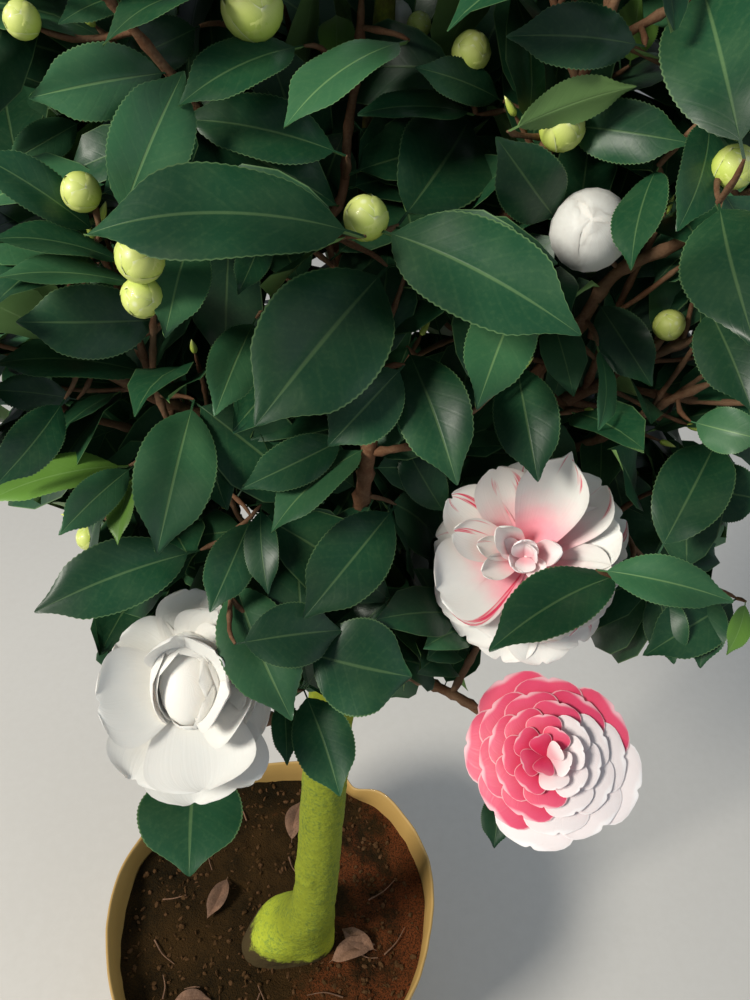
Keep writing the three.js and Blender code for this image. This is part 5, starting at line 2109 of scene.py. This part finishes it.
@lru_cache(maxsize=None)
def bloom_materials():
    tint = colours()
    white, blush, rose = tint.petal_white, tint.petal_blush, tint.petal_rose
    cream = (0.8, 0.66, 0.44, 1)
    pale = (0.86, 0.75, 0.74, 1)
    soft = (0.8, 0.42, 0.46, 1)
    light = (0.76, 0.065, 0.155, 1)
    return [
        petal_material("petal white", cream, white, 0.25),
        petal_material("petal striped", blush, white, 0.53, 1.0),
        petal_material("petal rose", rose, light, 0.85, 0.0, 0.4),
        petal_material("petal pale", soft, pale, 0.62, 0.0, 0.5),
        bud_material(),
    ]


@lru_cache(maxsize=None)
def bud_material():
    green = tuple(colours().bud)
    edge = (0.6, 0.66, 0.2, 1)
    values = {"Foot": green, "Edge": edge, "Streak": green, "Reach": 0.8, "Streaks": 0.0, "Rim": 0.25}
    return new_material("bud scale", petal_group(), values, 0.2, 0.0004, Coat_Weight=0.1)


class CAMELLIA_OT_buds(bpy.types.Operator):
    """Sets the round flower buds on the ends of their twigs"""

    bl_idname = "camellia.buds"
    bl_label = "Buds"

    def execute(self, context):
        shapes = [template("bud_green", *bud_parts(False)), template("bud_white", *bud_parts(True))]
        rows = []
        for bud in plant().buds:
            face = bud.facing.orthogonal()
            longer = 1.2 if bud.kind == "white" else 1.0
            size = Vector((bud.radius * longer, bud.radius, bud.radius))
            rows.append((bud.centre, bud.facing, face, size, 1 if bud.kind == "white" else 0))
        shapes.append(template("leaf_bud", *leaf_bud_parts()))
        for shoot in (shoot for mass in plant().masses for shoot in mass.shoots[1:]):
            tip, heading = shoot.points[-1], shoot.heading(1)
            balls = plant().balls
            if all((tip - centre).length > radius + LEAF_BUD.length for centre, radius in balls):
                size = Vector((LEAF_BUD.length, LEAF_BUD.radius, LEAF_BUD.radius))
                rows.append((tip - heading * 0.001, heading, heading.orthogonal(), size, 2))
        tree = scatter_tree("buds", shapes, [bud_material(), bloom_materials()[0]])
        keep(new_object("buds", scatter("buds", rows, tree, size=1.0)), "foliage")
        return {"FINISHED"}


# Petals of the open blooms, for a bloom that faces the viewer: the way that each points, anticlockwise from
# the right, its rise towards the viewer, both in degrees, then its length, width, curl, cup and the height of
# its foot, as shares of the bloom's radius, and how far its middle stands out in a point.
Petal = namedtuple("Petal", "turn rise length width curl cup foot point", defaults=(0.0,))
PETALS = {
    "striped": [
        Petal(266, 2, 1.12, 0.66, -0.1, 0.1, -0.3), Petal(244, 5, 1.08, 0.66, -0.1, 0.1, -0.3),
        Petal(289, 3, 1.12, 0.66, -0.1, 0.1, -0.29), Petal(312, 6, 1.04, 0.66, -0.1, 0.1, -0.29),
        Petal(337, 8, 0.96, 0.7, 0.0, 0.15, -0.28), Petal(223, 6, 1.04, 0.66, 0.0, 0.1, -0.28),
        Petal(101, 9, 0.98, 0.55, 0.0, 0.15, -0.28), Petal(33, 10, 1.06, 0.7, 0.0, 0.15, -0.28),
        Petal(8, 9, 1.0, 0.66, 0.0, 0.15, -0.28), Petal(180, 8, 0.96, 0.6, 0.0, 0.15, -0.28),
        Petal(54, 20, 1.12, 0.66, 0.1, 0.3, -0.22), Petal(26, 16, 1.0, 0.62, 0.1, 0.3, -0.22),
        Petal(-10, 16, 0.9, 0.66, 0.1, 0.3, -0.21), Petal(119, 24, 1.04, 0.6, 0.15, 0.4, -0.21),
        Petal(152, 18, 1.04, 0.6, 0.15, 0.35, -0.2), Petal(172, 26, 0.88, 0.42, 0.2, 0.5, -0.17),
        Petal(214, 18, 1.02, 0.92, 0.15, 0.3, -0.19), Petal(262, 13, 0.92, 0.8, 0.1, 0.25, -0.19),
        Petal(305, 15, 0.92, 0.8, 0.1, 0.25, -0.19), Petal(77, 34, 1.24, 0.66, 0.1, 0.6, -0.14, 0.1),
        Petal(146, 40, 0.66, 0.3, 0.5, 0.7, -0.12), Petal(176, 30, 0.6, 0.24, 0.2, 0.8, -0.1),
        Petal(212, 26, 0.56, 0.26, 0.3, 0.7, -0.1), Petal(20, 34, 0.5, 0.26, 0.4, 0.7, -0.1),
        Petal(108, 56, 0.36, 0.24, 0.3, 0.3, -0.04), Petal(166, 46, 0.34, 0.22, -0.3, 0.3, -0.03),
        Petal(232, 40, 0.28, 0.24, 0.4, 0.3, -0.02), Petal(318, 44, 0.3, 0.22, -0.3, 0.3, -0.02),
        Petal(40, 58, 0.3, 0.22, 0.4, 0.3, -0.01), Petal(136, 66, 0.26, 0.2, -0.5, 0.2, 0.03),
        Petal(276, 56, 0.22, 0.2, -0.4, 0.2, 0.04), Petal(70, 62, 0.2, 0.18, -0.6, 0.2, 0.06),
    ],
    "white": [
        Petal(85, 14, 1.2, 0.8, 0.2, 0.2, -0.3), Petal(142, 12, 1.06, 0.95, 0.2, 0.2, -0.3),
        Petal(-44, 12, 1.1, 0.95, 0.15, 0.2, -0.34), Petal(-5, 16, 0.87, 1.1, 0.2, 0.2, -0.34),
        Petal(40, 16, 0.98, 1.0, 0.2, 0.2, -0.34),
        Petal(234, 6, 1.3, 1.05, 0.1, 0.2, -0.32), Petal(266, 3, 1.42, 1.2, 0.05, 0.15, -0.34),
        Petal(298, 8, 1.42, 0.7, 0.1, 0.2, -0.32), Petal(-22, 32, 1.04, 1.2, 0.3, 0.25, -0.3),
        Petal(21, 36, 1.0, 1.1, 0.3, 0.25, -0.3), Petal(60, 26, 1.12, 0.9, 0.3, 0.25, -0.28),
        Petal(184, 20, 1.14, 1.15, 0.2, 0.2, -0.24), Petal(274, 16, 1.3, 1.3, 0.15, 0.15, -0.24),
        Petal(36, 48, 1.0, 0.9, 0.4, 0.3, -0.2), Petal(-18, 46, 0.98, 0.95, 0.4, 0.3, -0.2),
        Petal(92, 42, 0.95, 0.85, 0.4, 0.3, -0.2),
    ],
}

# The heart of an open bloom: its radius, its height in the picture and its depth as shares of the bloom's
# radius, how far its core bulges, its finish and that of the petals, and the wraps round it: the way that
# each points, its size as a share of the heart's, half its width in radians, the latitude of its edge, and
# how far that edge stands off. Petals below SMALL_PETAL belong to the heart.
Heart = namedtuple("Heart", "radius tall deep core finish petal_finish wraps")
SMALL_PETAL = 0.5
PETAL_THICKNESS = 0.0006
HEARTS = {
    "striped": Heart(0.04, 1.2, 1.5, 1.0, 3, 1, []),
    "white": Heart(0.38, 1.4, 1.0, 0.5, 0, 0, [
        (100, 0.98, 2.4, 0.8, 0.03), (125, 1.1, 1.9, 0.7, 0.04), (28, 1.08, 1.5, 0.75, 0.04),
        (-80, 0.95, 1.3, 0.3, 0.02), (5, 0.93, 1.1, 1.15, 0.02), (-40, 0.97, 1.1, 0.9, 0.02),
    ]),
}


def spiral_tree(petal, finishes):
    """A fully double bloom: petals on a golden-angle spiral, flat outside and steep at the heart."""
    inputs = {
        "Petals": 60, "Outer Length": 0.05, "Inner Length": 0.009, "Outer Rise": 0.06, "Inner Rise": 1.1,
        "Dome": 0.014, "Rose Turn": 3.1, "Rose Share": -0.27, "Outer Turn": 2.5, "Outer Share": -0.57,
    }
    tree, given = new_tree("double bloom", inputs)
    index = put(tree, "GeometryNodeInputIndex").signal()
    share = index.math("DIVIDE", given["Petals"])
    turn = index * GOLDEN_ANGLE
    rise = lerp(given["Outer Rise"], given["Inner Rise"], share.math("POWER", 4.0))
    length = lerp(given["Outer Length"], given["Inner Length"], share.math("POWER", 0.95))
    level = rise.math("COSINE")
    heading = joined(tree, turn.math("COSINE") * level, turn.math("SINE") * level, rise.math("SINE"))
    spot = joined(tree, 0.0, 0.0, (share - 1.0) * given["Dome"])
    placing = {
        "Points": put(tree, "GeometryNodePoints", {"Count": given["Petals"], "Position": spot}).signal(),
        "Instance": object_shape(tree, petal), "Rotation": facing_rotation(tree, heading, (0, 0, 1)),
        "Scale": joined(tree, length, length, length),
    }
    inward = span(share, 0.1, 0.25)
    toward = (turn - lerp(given["Outer Turn"], given["Rose Turn"], inward)).math("COSINE")
    is_rose = toward.math("GREATER_THAN", lerp(given["Outer Share"], given["Rose Share"], inward))
    flow = put(tree, "GeometryNodeInstanceOnPoints", placing).signal()
    stored = {"Geometry": flow, "Name": "rose", "Value": is_rose}
    flow = put(tree, "GeometryNodeStoreNamedAttribute", stored, domain="INSTANCE").signal()
    halves = {0: attribute(tree, "rose", "FLOAT"), 1: 0.5}
    white = (compare(tree, halves, "LESS_EQUAL"), finishes[3])
    rose = (compare(tree, halves, "GREATER_THAN"), finishes[2])
    return finish_tree(flow, [white, rose])


class CAMELLIA_OT_blooms(bpy.types.Operator):
    """Opens the blooms: fully double, striped and white"""

    bl_idname = "camellia.blooms"
    bl_label = "Blooms"

    def execute(self, context):
        finishes = bloom_materials()
        heap = Heap()
        double_meshes = []
        sheet = shell(petal_place(1, 0.88, -0.3, -0.08, 0.03, 0.0, 0.4), tip_rows(12), 12, evenly(0.012))
        petal = template("petal_shape", *sheet)
        tree = spiral_tree(petal, finishes)
        for number, bloom in enumerate(plant().blooms):
            matrix = self.bloom_matrix(bloom)
            if bloom.kind == "double":
                mesh = run_tree(
                    new_object("double", bpy.data.meshes.new("double")), tree, "double",
                    petals=sizes().double_petals, outer_length=bloom.radius, inner_length=bloom.radius * 0.22,
                )
                mesh.transform(matrix)
                double_meshes.append(mesh)
            else:
                self.open_bloom(heap, bloom, matrix, number)
            self.add_calyx(heap, bloom, matrix)
        keep(heap.piece("blooms", finishes), "foliage")
        doubles = Heap()
        order = [finishes[3], finishes[2]]
        for mesh in double_meshes:
            self.gather(doubles, mesh, order)
        keep(doubles.piece("blooms_double", order), "foliage")
        return {"FINISHED"}

    def gather(self, heap, mesh, order):
        """Adds a made mesh to a heap, with its UV places and materials."""
        uv = mesh.uv_layers["UVMap"].data
        places = [(0, 0)] * len(mesh.vertices)
        for loop in mesh.loops:
            places[loop.vertex_index] = tuple(uv[loop.index].uv)
        faces = [tuple(polygon.vertices) for polygon in mesh.polygons]
        slots = [order.index(mesh.materials[polygon.material_index]) for polygon in mesh.polygons]
        heap.add([vertex.co.copy() for vertex in mesh.vertices], faces, places, slots)

    def bloom_matrix(self, bloom):
        facing = bloom.facing.normalized()
        side = UP.cross(facing).normalized()
        matrix = Matrix((side, facing.cross(side), facing)).transposed().to_4x4()
        matrix.translation = bloom.centre
        return matrix

    def petal_matrix(self, turn, rise, height):
        out = Vector((math.cos(turn), math.sin(turn), 0))
        heading = out * math.cos(rise) + UP * math.sin(rise)
        face = UP * math.cos(rise) - out * math.sin(rise)
        return frame_matrix(Vector((0, 0, height)), heading, face)

    def open_bloom(self, heap, bloom, matrix, number):
        chance = seeded(SEEDS.blooms + number)
        radius = bloom.radius
        heart = HEARTS[bloom.kind]
        for petal in PETALS[bloom.kind]:
            place = petal_place(
                radius * petal.length, radius * petal.width, petal.curl, petal.cup,
                0.05 * chance() - petal.point, 0.035, 6 * chance(),
            )
            sheet = shell(place, tip_rows(16), 14, evenly(PETAL_THICKNESS))
            turn, rise = math.radians(petal.turn), math.radians(petal.rise)
            finish = heart.petal_finish if petal.length > SMALL_PETAL else heart.finish
            heap.add(*sheet[:3], finish, matrix @ self.petal_matrix(turn, rise, radius * petal.foot))
        size = radius * heart.radius
        middle = Matrix.Translation((0, 0, size * 0.2)) @ Matrix.Diagonal((1, heart.tall, heart.deep, 1))
        upright = matrix @ middle @ Matrix.Rotation(-math.pi / 2, 4, "Y")
        heap.add(*ball(size * 0.93, heart.core), heart.finish, upright)
        for turn, share, spread, edge, lift in heart.wraps:
            wrap = scale_place(size * share, spread, -1.3, edge, lift, 3.0)
            sheet = shell(wrap, even_rows(14), 14, evenly(size * 0.03))
            heap.add(*sheet[:3], heart.finish, upright @ Matrix.Rotation(math.radians(turn - 180), 4, "X"))

    def add_calyx(self, heap, bloom, matrix):
        """Green scales at the bloom's back, where its stalk ends."""
        back = bloom.radius * 0.28
        upright = matrix @ Matrix.Rotation(-math.pi / 2, 4, "Y") @ Matrix.Translation((-0.006, 0, 0))
        for index in range(5):
            scale = scale_place(back, 0.75, -1.5, -0.15, 0.05, 2.0)
            sheet = shell(scale, even_rows(6), 6, evenly(back * 0.04))
            heap.add(*sheet[:3], 4, upright @ Matrix.Rotation(2 * math.pi * index / 5, 4, "X"))


# The stage.

class CAMELLIA_OT_stage(bpy.types.Operator):
    """Sets the floor, the lights and the photograph's camera"""

    bl_idname = "camellia.stage"
    bl_label = "Stage"

    def execute(self, context):
        scene = context.scene
        side = 14.0
        heap = Heap()
        corners = [Vector((x, y, 0)) for x, y in ((-side, -side), (side, -side), (side, side), (-side, side))]
        heap.add(corners, [(0, 1, 2, 3)])
        paper = (0.62, 0.6, 0.56, 1)
        values = {"First": paper, "Second": (0.6, 0.58, 0.54, 1), "Patch Scale": 2.0, "Speck Scale": 60.0}
        floor = heap.piece("floor", [new_material("pale floor", mottle_group(), values, 0.05)])
        self.light("key", (-2.3, -1.5, 3.0), (0.12, 0, 0.9), 0.9, 160, (1, 0.95, 0.86))
        self.light("fill", (2.4, -1.8, 2.0), (0.12, 0, 0.9), 2.0, 14, (0.85, 0.93, 1))
        self.light("back", (0.6, 2.6, 2.4), (0.12, 0, 1.0), 1.6, 14, (0.95, 0.98, 1))
        world = bpy.data.worlds.new("soft sky")
        world.use_nodes = True
        back = world.node_tree.nodes["Background"].inputs
        back[0].default_value = (0.75, 0.86, 1.0, 1)
        back[1].default_value = 0.27
        scene.world = world
        scene.view_settings.view_transform = "Standard"
        lens = bpy.data.cameras.new("camera")
        lens.sensor_fit = "VERTICAL"
        lens.sensor_height = 36
        lens.lens = lens.sensor_height * PHOTO.focal / PHOTO.height
        lens.clip_start = 0.02
        camera = new_object("camera", lens)
        camera.location = PHOTO.eye
        camera.rotation_euler = (math.pi / 2 - PHOTO.pitch, 0, 0)
        scene.camera = camera
        return {"FINISHED"}

    def light(self, name, place, target, size, power, colour):
        lamp = bpy.data.lights.new(name, "AREA")
        lamp.size = size
        lamp.energy = power
        lamp.color = colour
        made = new_object(name, lamp)
        made.location = place
        made.rotation_euler = (Vector(target) - Vector(place)).to_track_quat("-Z", "Y").to_euler()


OPERATORS = [
    CAMELLIA_OT_stage, CAMELLIA_OT_pot, CAMELLIA_OT_soil, CAMELLIA_OT_trunk, CAMELLIA_OT_boughs,
    CAMELLIA_OT_twigs, CAMELLIA_OT_leaves, CAMELLIA_OT_buds, CAMELLIA_OT_blooms,
]


class CAMELLIA_PT_shrub(bpy.types.Panel):
    """Sizes, colours and pieces of the camellia shrub"""

    bl_idname = "CAMELLIA_PT_shrub"
    bl_label = "Camellia Shrub"
    bl_space_type = "VIEW_3D"
    bl_region_type = "UI"
    bl_category = "Camellia"

    def draw(self, context):
        for group in (context.scene.camellia_sizes, context.scene.camellia_colours):
            column = self.layout.column(align=True)
            for name in type(group).__annotations__:
                column.prop(group, name)
        for operator in OPERATORS:
            self.layout.operator(operator.bl_idname)


CLASSES = [ShrubSizes, ShrubColours, *OPERATORS, CAMELLIA_PT_shrub]


def register():
    for one in CLASSES:
        bpy.utils.register_class(one)
    bpy.types.Scene.camellia_sizes = PointerProperty(type=ShrubSizes)
    bpy.types.Scene.camellia_colours = PointerProperty(type=ShrubColours)


def unregister():
    del bpy.types.Scene.camellia_colours
    del bpy.types.Scene.camellia_sizes
    for one in reversed(CLASSES):
        bpy.utils.unregister_class(one)


def main():
    register()
    for operator in OPERATORS:
        group, name = operator.bl_idname.split(".")
        getattr(getattr(bpy.ops, group), name)()


if __name__ == "__main__":
    main()
